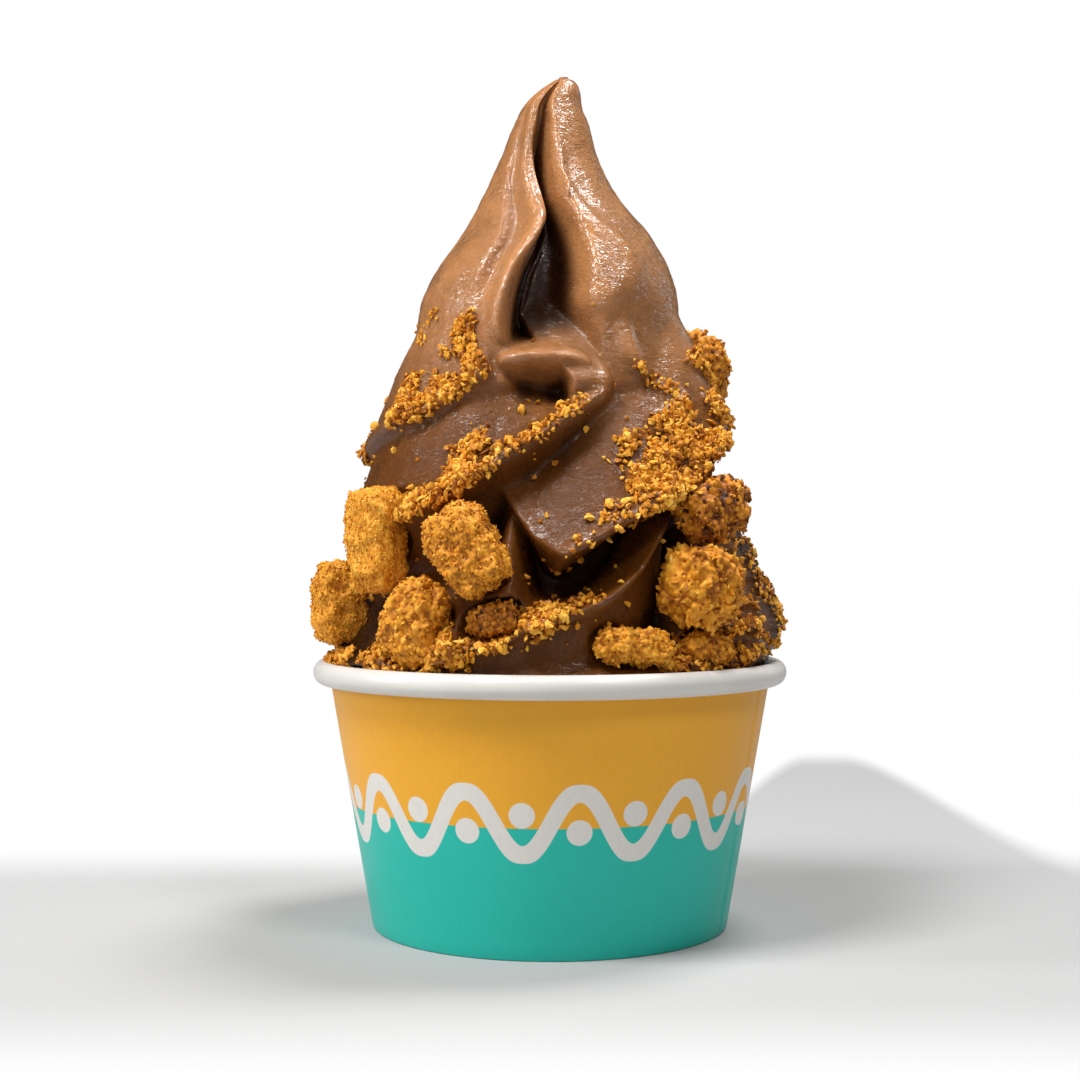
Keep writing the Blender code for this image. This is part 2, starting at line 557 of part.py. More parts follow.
def make_biscuit(biscuit, material):
    """A crumb-coated chunk: a rounded block with relief, cut off square or knobbly."""
    bm = bmesh.new()
    bmesh.ops.create_icosphere(bm, subdivisions=BISCUIT_DETAIL, radius=1)
    width, tall, deep = biscuit.size
    half = Vector((width, deep, tall)) / 2
    seed = Vector((biscuit.azimuth, biscuit.height, 0))
    power = biscuit.square
    for vertex in bm.verts:
        d = vertex.co.normalized()
        grow = sum(abs(c) ** power for c in d) ** (-1 / power)
        point = Vector((d.x * half.x, d.y * half.y, d.z * half.z)) * grow
        point.x *= 1 + biscuit.taper * point.z / half.z
        push = BISCUIT_ROUGHNESS * max(-1.0, min(1.0, LUMP_GAIN * noise.noise((point + seed) / BISCUIT_LUMP)))
        vertex.co = (point + push * d) * MM
    frame = biscuit_frame(biscuit)
    frame.translation *= MM
    bm.transform(frame)
    return new_object(biscuit.name, bm, material)


def clear_scene():
    for thing in list(bpy.data.objects):
        bpy.data.objects.remove(thing)


def main():
    clear_scene()
    paper = new_material("printed_paper", (0.62, 0.33, 0.05), 0.4)
    yogurt = new_material("chocolate_yogurt", (0.28, 0.14, 0.07), 0.35)
    crumb = new_material("biscuit_crumb", (0.62, 0.30, 0.06), 0.8)
    make_cup(paper)
    fuse_crumbs(make_swirl(yogurt), yogurt)
    for biscuit in BISCUITS:
        make_biscuit(biscuit, crumb)


main()
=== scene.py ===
"""Looks of the chocolate frozen yogurt cup: its printed paper, swirl, biscuit pieces and crumbs.

Sizes in the tables below are in millimetres and angles in degrees. An azimuth is measured round
the cup's axis from the front (-Y), positive towards +X. Meshes are in metres, in the frame's place.
"""

import math
from collections import namedtuple

import bmesh
import bpy
import numpy as np
from mathutils import Euler, Matrix, Vector, noise


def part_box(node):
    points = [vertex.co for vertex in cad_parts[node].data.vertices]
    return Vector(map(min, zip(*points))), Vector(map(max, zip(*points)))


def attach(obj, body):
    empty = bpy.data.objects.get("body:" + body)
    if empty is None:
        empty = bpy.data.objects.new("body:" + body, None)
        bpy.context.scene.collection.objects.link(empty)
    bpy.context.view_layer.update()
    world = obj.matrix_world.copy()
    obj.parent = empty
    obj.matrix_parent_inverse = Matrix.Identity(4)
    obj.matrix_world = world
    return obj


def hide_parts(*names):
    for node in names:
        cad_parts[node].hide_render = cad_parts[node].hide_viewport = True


bl_info = {
    "name": "Frozen Yogurt Cup",
    "version": (1, 0, 0),
    "blender": (4, 5, 0),
    "location": "3D View > Sidebar > Serving",
    "description": "Builds the finish of a swirled frozen yogurt cup round its solids",
    "category": "Add Mesh",
}

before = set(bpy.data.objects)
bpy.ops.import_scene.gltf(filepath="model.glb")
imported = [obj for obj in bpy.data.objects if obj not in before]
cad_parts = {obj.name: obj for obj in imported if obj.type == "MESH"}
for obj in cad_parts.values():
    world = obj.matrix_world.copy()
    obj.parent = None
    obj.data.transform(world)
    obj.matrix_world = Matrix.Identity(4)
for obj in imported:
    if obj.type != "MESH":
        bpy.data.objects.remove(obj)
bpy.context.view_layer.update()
CUP_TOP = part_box("cup")[1].z
SWIRL_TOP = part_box("frozen_yogurt")[1].z

MM = 0.001

# Paper cup
RIM_RADIUS = 46.0
BASE_RADIUS = 34.5
CUP_HEIGHT = CUP_TOP / MM
PAPER = 0.5
BEAD_HALF_WIDTH = 1.9
BEAD_HALF_HEIGHT = 2.2
# Thickness of the paper of the rolled rim, which is hollow
BEAD_PAPER = 0.45
BASE_RECESS = 5.0
SKIRT = 1.5
FOOT_ROUND = 0.35
# How far the wall reaches up into the rolled rim
NECK_OVERLAP = 0.6
# Small distances that keep the wall's faces and the base disc's apart
PAPER_CLEARANCE = 0.02
DISC_CLEARANCE = 0.05
NECK_RADIUS = RIM_RADIUS - 2 * BEAD_HALF_WIDTH + PAPER
BEAD_HEIGHT = CUP_HEIGHT - BEAD_HALF_HEIGHT
NECK_HEIGHT = CUP_HEIGHT - 2 * BEAD_HALF_HEIGHT + NECK_OVERLAP
# The lap of the glued seam: where it lies, how far it stands proud, the degrees over which it rises and
# those over which it dies away, and the height over which it sets in at the foot
SEAM_AZIMUTH = 67.0
SEAM_STEP = 0.22
SEAM_RISE = 1.0
SEAM_LAP = (6, 14)
SEAM_FOOT = 1.5
# The print is mapped on a cylinder of this radius, with so many waves round it. One colour gives way to
# the next over this far to each side, and a dot lies so far from the middle, as a share of the swing.
MAP_RADIUS = (BASE_RADIUS + NECK_RADIUS) / 2
PRINT_WAVES = 12
PRINT_EDGE = 0.06
DOT_PLACE = 0.28
# Edges of the paper are sharp where its faces turn by more than so many degrees
SHARP_ANGLE = 40

# How much closer together the swirl's columns stand at the front than round the back, from 0 to 1
FRONT_DENSITY = 0.45
# Space kept between one piece and the next
GAP = 0.3

# Swirl
PEAK_HEIGHT = SWIRL_TOP / MM
CREASE_BLEND = 0.7
# Up to this far above the rim the swirl stays inside the cup. Above, it may widen by so much for each
# millimetre of height, and the corner between the two is rounded.
RIM_CLEARANCE = 0.1
RIM_SPREAD = 5
RIM_BLEND = 0.05
# The skin's rows start so far below the rim. They are spaced evenly along a finer line of so many
# points, and then averaged with the columns beside them so many times.
ROWS_BELOW_RIM = 2
ROW_SAMPLES = 900
ROW_PASSES = 3
# The skin's unevenness sets in over so much height above the rim and ends over so much below the tip
UNEVEN_HEIGHTS = (3, 6)

# A layer of noise on the swirl: its strength, the size of its features, how far the noise is shifted
# so that no two layers are alike, and how it is stretched
Ripple = namedtuple("Ripple", "strength size shift stretch", defaults=((1, 1, 1),))

WRINKLES = (Ripple(0.22, 5.0, 0), Ripple(0.10, 1.9, 40, (1, 1, 1.6)))
PATCHES = (Ripple(1.0, 6.0, 90), Ripple(0.5, 2.2, 20))
# A heap of crumbs is so high on the whole, and uneven by these
HEAP_MEAN = 0.55
HEAP_LUMPS = (Ripple(0.9, 2.4, 60),)
# Between these heights the body's colour and gloss give way to the peak's. The paler peak is partly
# painted light from above, and the darker folds partly painted shade.
PEAK_TONE = (88, 122)
# Height of the drops in the wet film, which make its bright flecks
FLECK_DEPTH = 0.45

# A lip of the swirl: stations run from the lip's left end to its right end as (azimuth, height,
# radius, rise, under). The lip stands proud by bead over a band of half-width width. Above it the
# face draws in by rise, and below it by under, in millimetres for each millimetre of height. The
# ends fade out over so many degrees, and the left end leans over by so many degrees for each
# millimetre above the lip.
Fold = namedtuple("Fold", "stations bead width fade lean", defaults=(0,))

SHELF = Fold(
    ((-30, 105.5, 25.3, 1, 1), (-18, 107.3, 26, 1.8, 1.1), (-9, 107.9, 26.2, 2.5, 1.2),
     (0, 107.9, 26.4, 2.5, 1.2), (9, 107.6, 26.2, 2.5, 1.2), (16, 106.6, 25.6, 2, 1),
     (24, 105, 24.5, 1.6, 0.8)), 2.6, 3.4, (12, 10))
# the bend at the right end of the shelf, where it turns down into the fold that crosses the front
BEND = Fold(
    ((0, 104.2, 26.2, 0.9, 0.5), (12, 103.4, 27.4, 0.9, 0.5), (22, 103.0, 27.2, 0.8, 0.4),
     (40, 102, 25.5, 0.7, 0.3)), 2.4, 5.0, (9, 20), 1.5)
LEDGE = Fold(
    ((-200, 74, 38, 0.4, 1), (-120, 88, 36, 0.4, 1), (-71, 95, 34.2, 0.4, 0.9),
     (-60, 96.7, 33.4, 0.4, 0.8), (-41, 100, 31.3, 0.42, 0.7), (-23, 106, 28.6, 0.45, 0.6),
     (-15, 109, 27.2, 0.5, 0.6)), 1.0, 2.2, (25, 10))
CROSS_FOLD = Fold(
    ((-170, 61, 40.5, 0.34, 0.45), (-100, 78.5, 38, 0.34, 0.45), (-69, 80, 37, 0.34, 0.45),
     (-44, 79, 37.2, 0.36, 0.6), (-27, 84, 35.4, 0.42, 0.8), (-15, 88.6, 33.7, 0.75, 0.9),
     (-3, 93, 31.6, 1.3, 0.9), (7, 97, 29.8, 2.0, 0.8), (14, 99.8, 28.6, 1.5, 0.7),
     (22, 102, 27.6, 0.9, 0.6), (36, 104.5, 26.6, 0.6, 0.4)), 2.5, 3.2, (25, 18))
LOBE_SKIRT = Fold(
    ((19, 110.5, 25.2, 0.4, 0.2), (28, 109.2, 27.0, 0.4, 0.2), (38, 106.8, 29.0, 0.4, 0.2),
     (48, 103.5, 31, 0.4, 0.2), (62, 101, 32.5, 0.5, 0.3)), 0.2, 3.0, (10, 30))
MAIN_FOLD = Fold(
    ((-4, 69.2, 39.8, 0.62, 4), (12, 75, 39.6, 0.62, 4.5), (24, 79.6, 39, 0.58, 4),
     (38, 84, 38, 0.55, 2), (48, 87, 37.2, 0.5, 1), (57, 91.3, 36, 0.45, 0.6),
     (72, 97, 34.3, 0.42, 0.3), (100, 98, 32.8, 0.42, 0.3), (150, 104, 30, 0.42, 0.8),
     (200, 112, 25, 0.42, 0.9)), 1.4, 2.2, (8, 30), 1.35)
LOW_FOLD = Fold(
    ((-135, 48, 41, 0.6, 0.25), (-90, 51, 42, 0.55, 0.25), (-60, 51.5, 42, 0.55, 0.25),
     (-30, 54, 41.6, 0.7, 0.25), (-20, 56.2, 41.6, 0.7, 0.25), (-7, 59.2, 41.2, 1.2, 0.25),
     (2, 61.2, 40.8, 6, 0.25), (12, 63.8, 40, 9, 0.25), (22, 68.4, 38.2, 9, 0.25),
     (30, 73.5, 35.8, 5, 0.2), (38, 78, 33, 3, 0.1), (50, 80, 29, 3, 0)), 1.6, 2.0, (20, 12))
RIGHT_SWELLING = Fold(
    ((30, 53, 40.5, 1.2, 0.15), (45, 55, 42, 0.8, 0.15), (60, 57, 43, 0.5, 0.2),
     (90, 60, 44.3, 0.45, 0.3), (130, 66, 43, 0.5, 0.5), (180, 78, 39, 0.5, 0.8),
     (235, 92, 34.5, 0.5, 0.9)), 1.0, 3.0, (10, 30))
BACK_FOLD = Fold(
    ((120, 50, 42, 0.6, 0.2), (165, 58, 42.5, 0.6, 0.5), (215, 66, 41, 0.6, 0.8), (262, 74, 38, 0.6, 0.9)),
    1.2, 2.6, (20, 20))
FOLDS = (SHELF, BEND, LEDGE, CROSS_FOLD, LOBE_SKIRT, MAIN_FOLD, LOW_FOLD, RIGHT_SWELLING, BACK_FOLD)
# How far a fold draws in where its end has faded out
END_DROP = 16
# From this far above its lip a fold's face curves inwards, by so much for each square millimetre
CURL_HEIGHT = 12
CURL = 0.012

# A flute of the peak: (height, azimuth, half-width in degrees, depth as a share of the radius). A
# ridge is a flute of negative depth.
CENTRAL_FLUTE = (
    (165, -16, 6, 0.1), (162, -14, 7, 0.35), (157, -11, 11, 0.6), (151.5, -9, 11.5, 0.68),
    (144.7, -2.6, 9, 0.68), (140, 1, 7, 0.62), (136, 3, 7.4, 0.58), (132.5, 3.2, 9.6, 0.52),
    (129, 3.5, 12, 0.48), (124, 1.9, 14.6, 0.46), (119, 1.2, 15.4, 0.46), (114, 3.2, 17, 0.48),
    (104, 3.2, 17, 0.40))
# the dark slot down the flute's left side
SLOT = (
    (150, -4, 5, 0), (144, -2, 5, 0.2), (140, 0.5, 4.5, 0.34), (136, 0, 4, 0.38),
    (132.5, -2.2, 3.6, 0.36), (129, -6, 2.8, 0.3), (124.5, -11, 2.2, 0.22), (119, -12.5, 2.4, 0.16),
    (112, -12, 3, 0.1), (108, -12, 3, 0))
LEFT_RIDGE = (
    (165, -34, 9, 0), (158, -37, 9, -0.10), (151.4, -31, 8, -0.10), (144.7, -24.5, 7, -0.09),
    (139.3, -16, 6, -0.10), (135, -11, 5.5, -0.12), (130.7, -12.5, 5, -0.12), (126, -17, 5, -0.11),
    (121, -18.5, 5.5, -0.10), (115, -18, 6.5, -0.08), (108, -18, 7, 0))
LEFT_CREASE = (
    (165, -52, 8, 0), (155, -46, 7, 0.04), (147, -39, 6, 0.09), (141, -33, 6, 0.12),
    (135.6, -26.5, 5.5, 0.12), (130.3, -24.5, 5, 0.11), (125.9, -26, 5, 0.08), (119, -27, 6, 0.04),
    (112, -27, 6, 0))
RIGHT_RIDGE = (
    (155, 8, 8, 0), (150, 8, 7, -0.05), (140.4, 13, 7, -0.05), (134.4, 20, 8, -0.05),
    (131, 30, 9, -0.05), (127, 37, 10, -0.05), (122, 33, 10, -0.04), (116, 24, 10, 0))
INNER_RIDGE = (
    (146, 9, 2.4, 0), (141.5, 8.5, 2.4, -0.16), (137, 5.5, 2.4, -0.22), (133.5, 2.4, 2.4, -0.22),
    (129.3, -2.5, 2.4, -0.20), (124.5, -7.8, 2.4, -0.17), (119, -9.5, 2.4, -0.12), (114, -9, 2.6, 0))
SIDE_FLUTE = (
    (165, 110, 18, 0.03), (150, 112, 16, 0.30), (130, 118, 16, 0.34), (114, 126, 20, 0.25),
    (104, 132, 22, 0))
BACK_FLUTE = (
    (165, 180, 18, 0.03), (150, 184, 16, 0.36), (130, 190, 16, 0.40), (112, 200, 20, 0.25),
    (100, 206, 22, 0))
LEFT_FLUTE = (
    (165, 250, 16, 0.03), (150, 252, 14, 0.22), (130, 258, 14, 0.26), (112, 268, 16, 0.15),
    (98, 274, 18, 0))
# Each flute with how square its sides are
FLUTES = (
    (CENTRAL_FLUTE, 6.0), (SLOT, 3.0), (LEFT_RIDGE, 2.4), (LEFT_CREASE, 2.4), (RIGHT_RIDGE, 2.6),
    (INNER_RIDGE, 2.2), (SIDE_FLUTE, 2.6), (BACK_FLUTE, 2.6), (LEFT_FLUTE, 2.6))

# The peak's outline as (height, reach to the left, reach to the right)
PEAK_OUTLINE = (
    (97, 31.0, 28.0), (108, 29.0, 24.5), (114, 27.8, 24.2), (120, 26.0, 25.0), (127.6, 22.0, 23.2),
    (133.5, 17.6, 20.0), (141.3, 13.3, 13.6), (149.2, 9.7, 9.6), (155, 7.3, 8.0), (160, 4.9, 6.2),
    (162.5, 2.3, 5.9), (163.9, 0.3, 5.4), (164.8, -1.2, 4.4), (165.3, -2.6, 3.2),
)
# Between these heights the outline's lean to one side sets in
PEAK_LEAN = (100, 125)
# The rays that draw the peak start so far left of its middle, or at this share of its radius if that
# is less, and the shift sets in between these heights. The folds there lie about so far from the axis.
PEAK_SHIFT = 5.5
SHIFT_SHARE = 0.4
SHIFT_HEIGHTS = (103, 112)
HIGH_FOLD_REACH = 28
# Below these heights the peak gives way to the folds, by so much
PEAK_FOOT = (92, 104)
PEAK_FOOT_DROP = 14

# The solid heart of the swirl as (height, radius)
HEART = (
    (5, 44), (42, 44), (51, 40.5), (56, 35), (62, 29), (66, 26.5), (78, 24), (90, 22), (100, 19), (108, 15),
    (116, 8), (126, 0), (140, -12))

# A biscuit piece: azimuth, distance from the axis and height of its middle, its width, height and
# depth, its turn in its own plane and about the vertical, how square it is, how much wider it is at
# the top than in the middle, the size of its grains and how much browner than usual it is toasted.
# On the pieces at the right, at the back and tucked in, this browning is partly painted shade.
Biscuit = namedtuple("Biscuit", "name azimuth reach height size roll yaw square taper grain toast")

BISCUITS = (
    Biscuit("biscuit_left_outer", -74, 41.3, 63.0, (8.8, 15.5, 9.5), 4, 10, 4.2, -0.10, 0.6, -0.15),
    Biscuit("biscuit_left_upper", -52, 40.3, 74.8, (10.2, 19.0, 8.5), -2, 12, 4.6, 0.14, 0.55, -0.15),
    Biscuit("biscuit_centre", -21, 41.0, 73.0, (10.8, 15.6, 9.5), -33, 0, 4.6, 0.04, 0.8, 0.1),
    Biscuit("biscuit_left_lower", -36.5, 40.3, 60.3, (12.0, 15.5, 9.5), 22, 0, 2.6, -0.22, 1.2, 0.0),
    Biscuit("biscuit_tucked", -15.5, 37.0, 60.4, (10.0, 6.4, 6.0), -16, 0, 2.4, 0.0, 1.2, 0.4),
    Biscuit("biscuit_high_back", 116, 32.0, 107.5, (15.0, 18.5, 13.0), -20, 0, 2.6, 0.1, 1.5, 0.35),
    Biscuit("biscuit_right_upper", 50, 38.8, 80.2, (16.0, 11.5, 10.0), -12, 0, 2.6, 0.08, 1.4, 0.5),
    Biscuit("biscuit_right_lower", 42, 40.6, 66.2, (15.0, 14.0, 12.0), 14, 0, 3.0, 0.08, 1.6, 0.15),
    Biscuit("biscuit_rim_front", 21.5, 39.6, 56.0, (15.0, 6.6, 6.0), 5, 0, 2.5, 0.0, 1.0, 0.0),
    Biscuit("biscuit_rim_right", 46, 39.8, 55.2, (12.0, 5.6, 6.0), 8, 0, 2.4, 0.0, 1.2, 0.2),
    Biscuit("biscuit_back_low", 158, 41.0, 62.0, (14.0, 13.0, 10.0), 20, 0, 3.0, 0.1, 1.1, 0.3),
    Biscuit("biscuit_back_mid", 196, 39.5, 76.0, (13.0, 15.0, 10.0), -16, 0, 3.6, -0.1, 0.8, 0.2),
    Biscuit("biscuit_back_left", 238, 41.5, 62.5, (15.0, 12.0, 11.0), 35, 0, 3.0, 0.08, 1.0, 0.3),
)
# Height, size and strength of the lumps in a biscuit's surface, and how finely it is divided
BISCUIT_ROUGHNESS = 0.55
BISCUIT_DETAIL = 6
BISCUIT_LUMP = 2.4
LUMP_GAIN = 2
# Depth of a biscuit's coat and its least and greatest crumb, as shares of its grain, and its pits
COAT_DEPTH = 0.42
COAT_CRUMBS = (0.2, 0.5)
COAT_PITS = 2.4
# Steps of the search for where a ray meets a biscuit
RAY_STEP = 0.25

# Where crumbs lie thick on the swirl: the lip they follow, the azimuths they lie between, how far
# below and above the lip they reach, how thick they lie and how high they are heaped
Cover = namedtuple("Cover", "fold start stop below above amount heap")

COVERS = (
    Cover(LEDGE, -60, -19, 1.0, 8.0, 0.95, 0.8),
    Cover(LEDGE, -29, -19, -4.0, 9.5, 1.0, 1.6),
    Cover(LEDGE, -54, -42, -13.5, 17.0, 0.6, 0.6),
    Cover(CROSS_FOLD, -56, -14, 0.8, 3.4, 0.9, 1.0),
    Cover(CROSS_FOLD, -32, -20, 0.8, 8.5, 1.0, 1.6),
    Cover(CROSS_FOLD, -14, 12, -0.2, 2.0, 0.55, 0.6),
    Cover(MAIN_FOLD, 22, 78, 1.0, 13.0, 1.0, 1.4),
    Cover(MAIN_FOLD, 4, 26, -0.2, 3.6, 0.5, 0.4),
    Cover(LOW_FOLD, -48, -14, 9.0, 3.6, 1.0, 2.2),
    Cover(LOW_FOLD, -15, -7, 5.5, 3.0, 1.0, 1.8),
    Cover(LOW_FOLD, -8, 3, 2.2, 2.0, 0.9, 1.2),
    Cover(LOW_FOLD, 3, 12, 0.4, 1.4, 0.5, 0.5),
    Cover(LOW_FOLD, -80, -48, 3.0, 2.0, 0.8, 0.6),
    Cover(LOBE_SKIRT, 38, 62, 2.6, 0.4, 0.6, 0.5),
    Cover(RIGHT_SWELLING, 30, 60, 4.0, 3.0, 0.9, 1.6),
    Cover(RIGHT_SWELLING, 50, 120, 5.0, 16.0, 0.12, 0.6),
    Cover(RIGHT_SWELLING, 120, 220, 1.0, 3.0, 0.7, 0.8),
    Cover(BACK_FOLD, 130, 250, 1.0, 2.5, 0.7, 0.8),
    Cover(LEDGE, -190, -90, 1.0, 3.0, 0.6, 0.8),
)
# A cover ends over so many degrees to each side. Its lower and upper edges set in so far outside it
# and are complete so far inside it.
COVER_ENDS = 3
COVER_LOWER = (0.8, 0.4)
COVER_UPPER = (1.5, 0.5)
# It has gaps where the noise of its patches is low, between these values
PATCH_GAPS = (-0.45, 0.1)
# It starts over so much height below and above the rim
COVER_RIM = 0.5
# A few crumbs lie everywhere below the peak, and thin out between these heights
COVER_SCATTER = 0.004
SCATTER_HEIGHTS = (108, 122)

# The loose crumbs of one kind: how many lie on a square metre of cover, their least and greatest size,
# how far they are lifted, how flat they are, how finely they are divided, and their seed
Crumbs = namedtuple("Crumbs", "name density least greatest lift flatness detail seed")

CRUMB_KINDS = (
    Crumbs("crumb_lumps", 0.26e6, 0.5, 1.05, 0.5, (1.1, 1, 0.8), 2, 21),
    Crumbs("crumb_grains", 2.4e6, 0.28, 0.70, 0.6, (1, 1, 0.8), 1, 22),
    Crumbs("crumb_flakes", 0.9e6, 0.5, 1.0, 0.6, (1.6, 0.8, 0.35), 1, 23),
)

# Dark glossy syrup, whose near black colour also serves as painted shade where the low folds lie in shade:
# the azimuths over which it sets in and over which it ends, the heights over which it thins out, and how
# thick it lies
SyrupAndShade = namedtuple("SyrupAndShade", "start stop top amount")

SYRUP_AND_SHADE_PATCHES = (
    SyrupAndShade((-104, -92), (-58, -48), (62, 68), 1.0),
    SyrupAndShade((62, 74), (130, 150), (82, 92), 0.8),
)

# A place counts as hollow by how far it lies below the mean of its surroundings, so many columns
# and rows to each side, and its colour is darkened there as painted shade
HOLLOW_SHADE_DEPTHS = (0.4, 5.5)
HOLLOW_SHADE_REACH = (30, 16)
# and as a ridge by how far it stands above those close by. Ridges are painted lighter as painted
# highlight, and get more of the wet film.
RIDGE_HEIGHTS = (0.1, 0.9)
RIDGE_REACH = (9, 5)
# In the peak a place also counts as hollow, and gets painted shade, by how far it lies below the
# peak's outline
CARVED_SHADE_DEPTHS = (1.0, 9.5)

# The photo's camera, with its sensor's width, and its nearest distance in metres
CAMERA_PLACE = (-1.9, -352.0, 74.7)
CAMERA_LENS = 59.83
CAMERA_SENSOR = 36
CAMERA_NEAREST = 0.01

# The floor's half width
FLOOR_HALF = 3000.0
# The rest is in metres. The grey floor shows further back in a slanting band at the right, a painted
# shadow where the floor elsewhere fades into white. The band sets in and ends between these places along X,
# moves right by so much for each metre back, and shows the floor so much further.
FLOOR_BAND_START = (0.012, 0.05)
FLOOR_BAND_END = (0.115, 0.062)
FLOOR_BAND_SLANT = 0.15
FLOOR_BAND_REACH = 0.2
# To both sides the floor fades into white between these distances from the cup's axis
FLOOR_SIDES = (0.12, 0.25)
# Behind and before the cup it starts to fade at these shares of the stage's distances
FADE_BEHIND = 0.4
FADE_BEFORE = 0.5

# The lights, all aimed at one point: place, size, the power of the stage that they draw on and the
# share of it that they give
LIGHT_AIM = (0, 0, 0.09)
Lamp = namedtuple("Lamp", "name place size power share")

LAMPS = (
    Lamp("key_light", (-0.35, -0.30, 0.85), (0.26, 0.26), "key_power", 1.0),
    Lamp("top_light", (0.25, 0.15, 0.90), (0.26, 0.26), "key_power", 0.8),
    Lamp("left_light", (-0.80, -0.10, 0.40), (0.08, 0.50), "strip_power", 1.0),
    Lamp("right_light", (0.55, 0.50, 0.35), (0.10, 0.50), "strip_power", 0.12),
    Lamp("front_light", (0.36, -0.55, 0.80), (0.22, 0.22), "fill_power", 1.0),
    Lamp("low_light", (-0.55, -0.90, 0.35), (0.50, 0.50), "fill_power", 0.4),
)


def linear(red, green, blue):
    """A shader colour from screen values of 0 to 255."""
    def channel(value):
        value /= 255
        return value / 12.92 if value <= 0.04045 else ((value + 0.055) / 1.055) ** 2.4

    return (channel(red), channel(green), channel(blue), 1.0)


def put(tree, kind, inputs=None, **attributes):
    """Adds a node, sets its attributes, and sets or links its inputs."""
    node = tree.nodes.new(kind)
    for name, value in attributes.items():
        setattr(node, name, value)
    for key, value in (inputs or {}).items():
        if isinstance(value, bpy.types.NodeSocket):
            tree.links.new(value, node.inputs[key])
        else:
            node.inputs[key].default_value = value
    return node


def math_node(tree, operation, first, second=0.0, third=0.0):
    """The output of one Math node."""
    return put(tree, "ShaderNodeMath", {0: first, 1: second, 2: third}, operation=operation).outputs[0]


def scaled(tree, vector, factor):
    """A vector or colour multiplied by a number."""
    return put(tree, "ShaderNodeVectorMath", {0: vector, 3: factor}, operation="SCALE").outputs[0]


def attribute_value(tree, name):
    """The number that a mesh keeps for each of its points under this name."""
    return put(tree, "ShaderNodeAttribute", attribute_name=name).outputs["Fac"]


def opaque(colour):
    """A shader colour from three channels."""
    return tuple(colour) + (1,)


def map_range(tree, value, low, high, to_low=0.0, to_high=1.0, smooth=True):
    """A value carried from one range to another, clamped."""
    kind = "SMOOTHSTEP" if smooth else "LINEAR"
    inputs = {0: value, 1: low, 2: high, 3: to_low, 4: to_high}
    node = put(tree, "ShaderNodeMapRange", inputs, interpolation_type=kind)
    return node.outputs[0]


def mix_colour(tree, factor, first, second):
    """The first colour where the factor is 0, and the second where it is 1."""
    return put(tree, "ShaderNodeMix", {0: factor, 6: first, 7: second}, data_type="RGBA").outputs[2]


def ramp(tree, factor, stops):
    """A colour ramp of (place, colour) stops."""
    node = put(tree, "ShaderNodeValToRGB", {0: factor})
    elements = node.color_ramp.elements
    for stop in stops[len(elements):]:
        elements.new(stop[0])
    for element, (place, colour) in zip(elements, stops):
        element.position = place
        element.color = colour
    return node.outputs[0]


def noise_value(tree, place, size, detail=3.0, roughness=0.5, distortion=0.0, stretch=None):
    """Noise whose features are about size millimetres across, stretched along an axis if asked."""
    if stretch:
        place = put(tree, "ShaderNodeMapping", {0: place, 3: stretch}).outputs[0]
    node = put(tree, "ShaderNodeTexNoise", {
        "Vector": place, "Scale": 1 / (size * MM), "Detail": detail, "Roughness": roughness,
        "Distortion": distortion})
    return node.outputs[0]


def new_material(name):
    """An empty material, its tree, its shader and the object's coordinates."""
    material = bpy.data.materials.new(name)
    material.use_nodes = True
    tree = material.node_tree
    shader = tree.nodes["Principled BSDF"]
    place = put(tree, "ShaderNodeTexCoord").outputs["Object"]
    return material, tree, shader, place


def set_shader(tree, shader, **inputs):
    """Sets or links the Principled shader's sockets, named in lower case with underscores."""
    for name, value in inputs.items():
        words = name.replace("_", " ").title().replace("Ior", "IOR")
        if isinstance(value, bpy.types.NodeSocket):
            tree.links.new(value, shader.inputs[words])
        else:
            shader.inputs[words].default_value = value


def new_group(kind, name, sockets, result, result_kind):
    """A node group with these inputs, each as (name, kind, default), and one output, and its inputs."""
    group = bpy.data.node_groups.new(name, kind)
    for label, socket_kind, value in sockets:
        socket = group.interface.new_socket(label, in_out="INPUT", socket_type="NodeSocket" + socket_kind)
        if value is not None:
            socket.default_value = value
    group.interface.new_socket(result, in_out="OUTPUT", socket_type="NodeSocket" + result_kind)
    return group, put(group, "NodeGroupInput").outputs


def relief_group():
    """The group "fine_relief": a height field of grain and longer wrinkles, shared by all materials
    but the floor's."""
    group = bpy.data.node_groups.get("fine_relief")
    if group:
        return group
    group, start = new_group("ShaderNodeTree", "fine_relief", (
        ("Place", "Vector", None), ("Grain Size", "Float", 0.5), ("Wrinkle Size", "Float", 2.0),
        ("Wrinkle Share", "Float", 0.5)), "Height", "Float")
    grain_scale = math_node(group, "DIVIDE", 1 / MM, start["Grain Size"])
    wrinkle_scale = math_node(group, "DIVIDE", 1 / MM, start["Wrinkle Size"])
    grain = put(group, "ShaderNodeTexNoise", {
        "Vector": start["Place"], "Scale": grain_scale, "Detail": 4.0, "Roughness": 0.6})
    wrinkle = put(group, "ShaderNodeTexNoise", {
        "Vector": start["Place"], "Scale": wrinkle_scale, "Detail": 2.0, "Distortion": 1.2})
    blended = put(group, "ShaderNodeMix", {
        0: start["Wrinkle Share"], 2: grain.outputs[0], 3: wrinkle.outputs[0]}, data_type="FLOAT")
    put(group, "NodeGroupOutput", {0: blended.outputs[0]})
    return group


def add_relief(tree, place, grain, wrinkle, share, strength, depth, under=None):
    """The normal of a surface with fine relief of so many millimetres' depth, over another normal."""
    relief = put(tree, "ShaderNodeGroup", {
        "Place": place, "Grain Size": grain, "Wrinkle Size": wrinkle, "Wrinkle Share": share},
        node_tree=relief_group())
    bump = put(tree, "ShaderNodeBump", {
        "Strength": strength, "Distance": depth * MM, "Height": relief.outputs["Height"]})
    if under:
        tree.links.new(under, bump.inputs["Normal"])
    return bump.outputs[0]


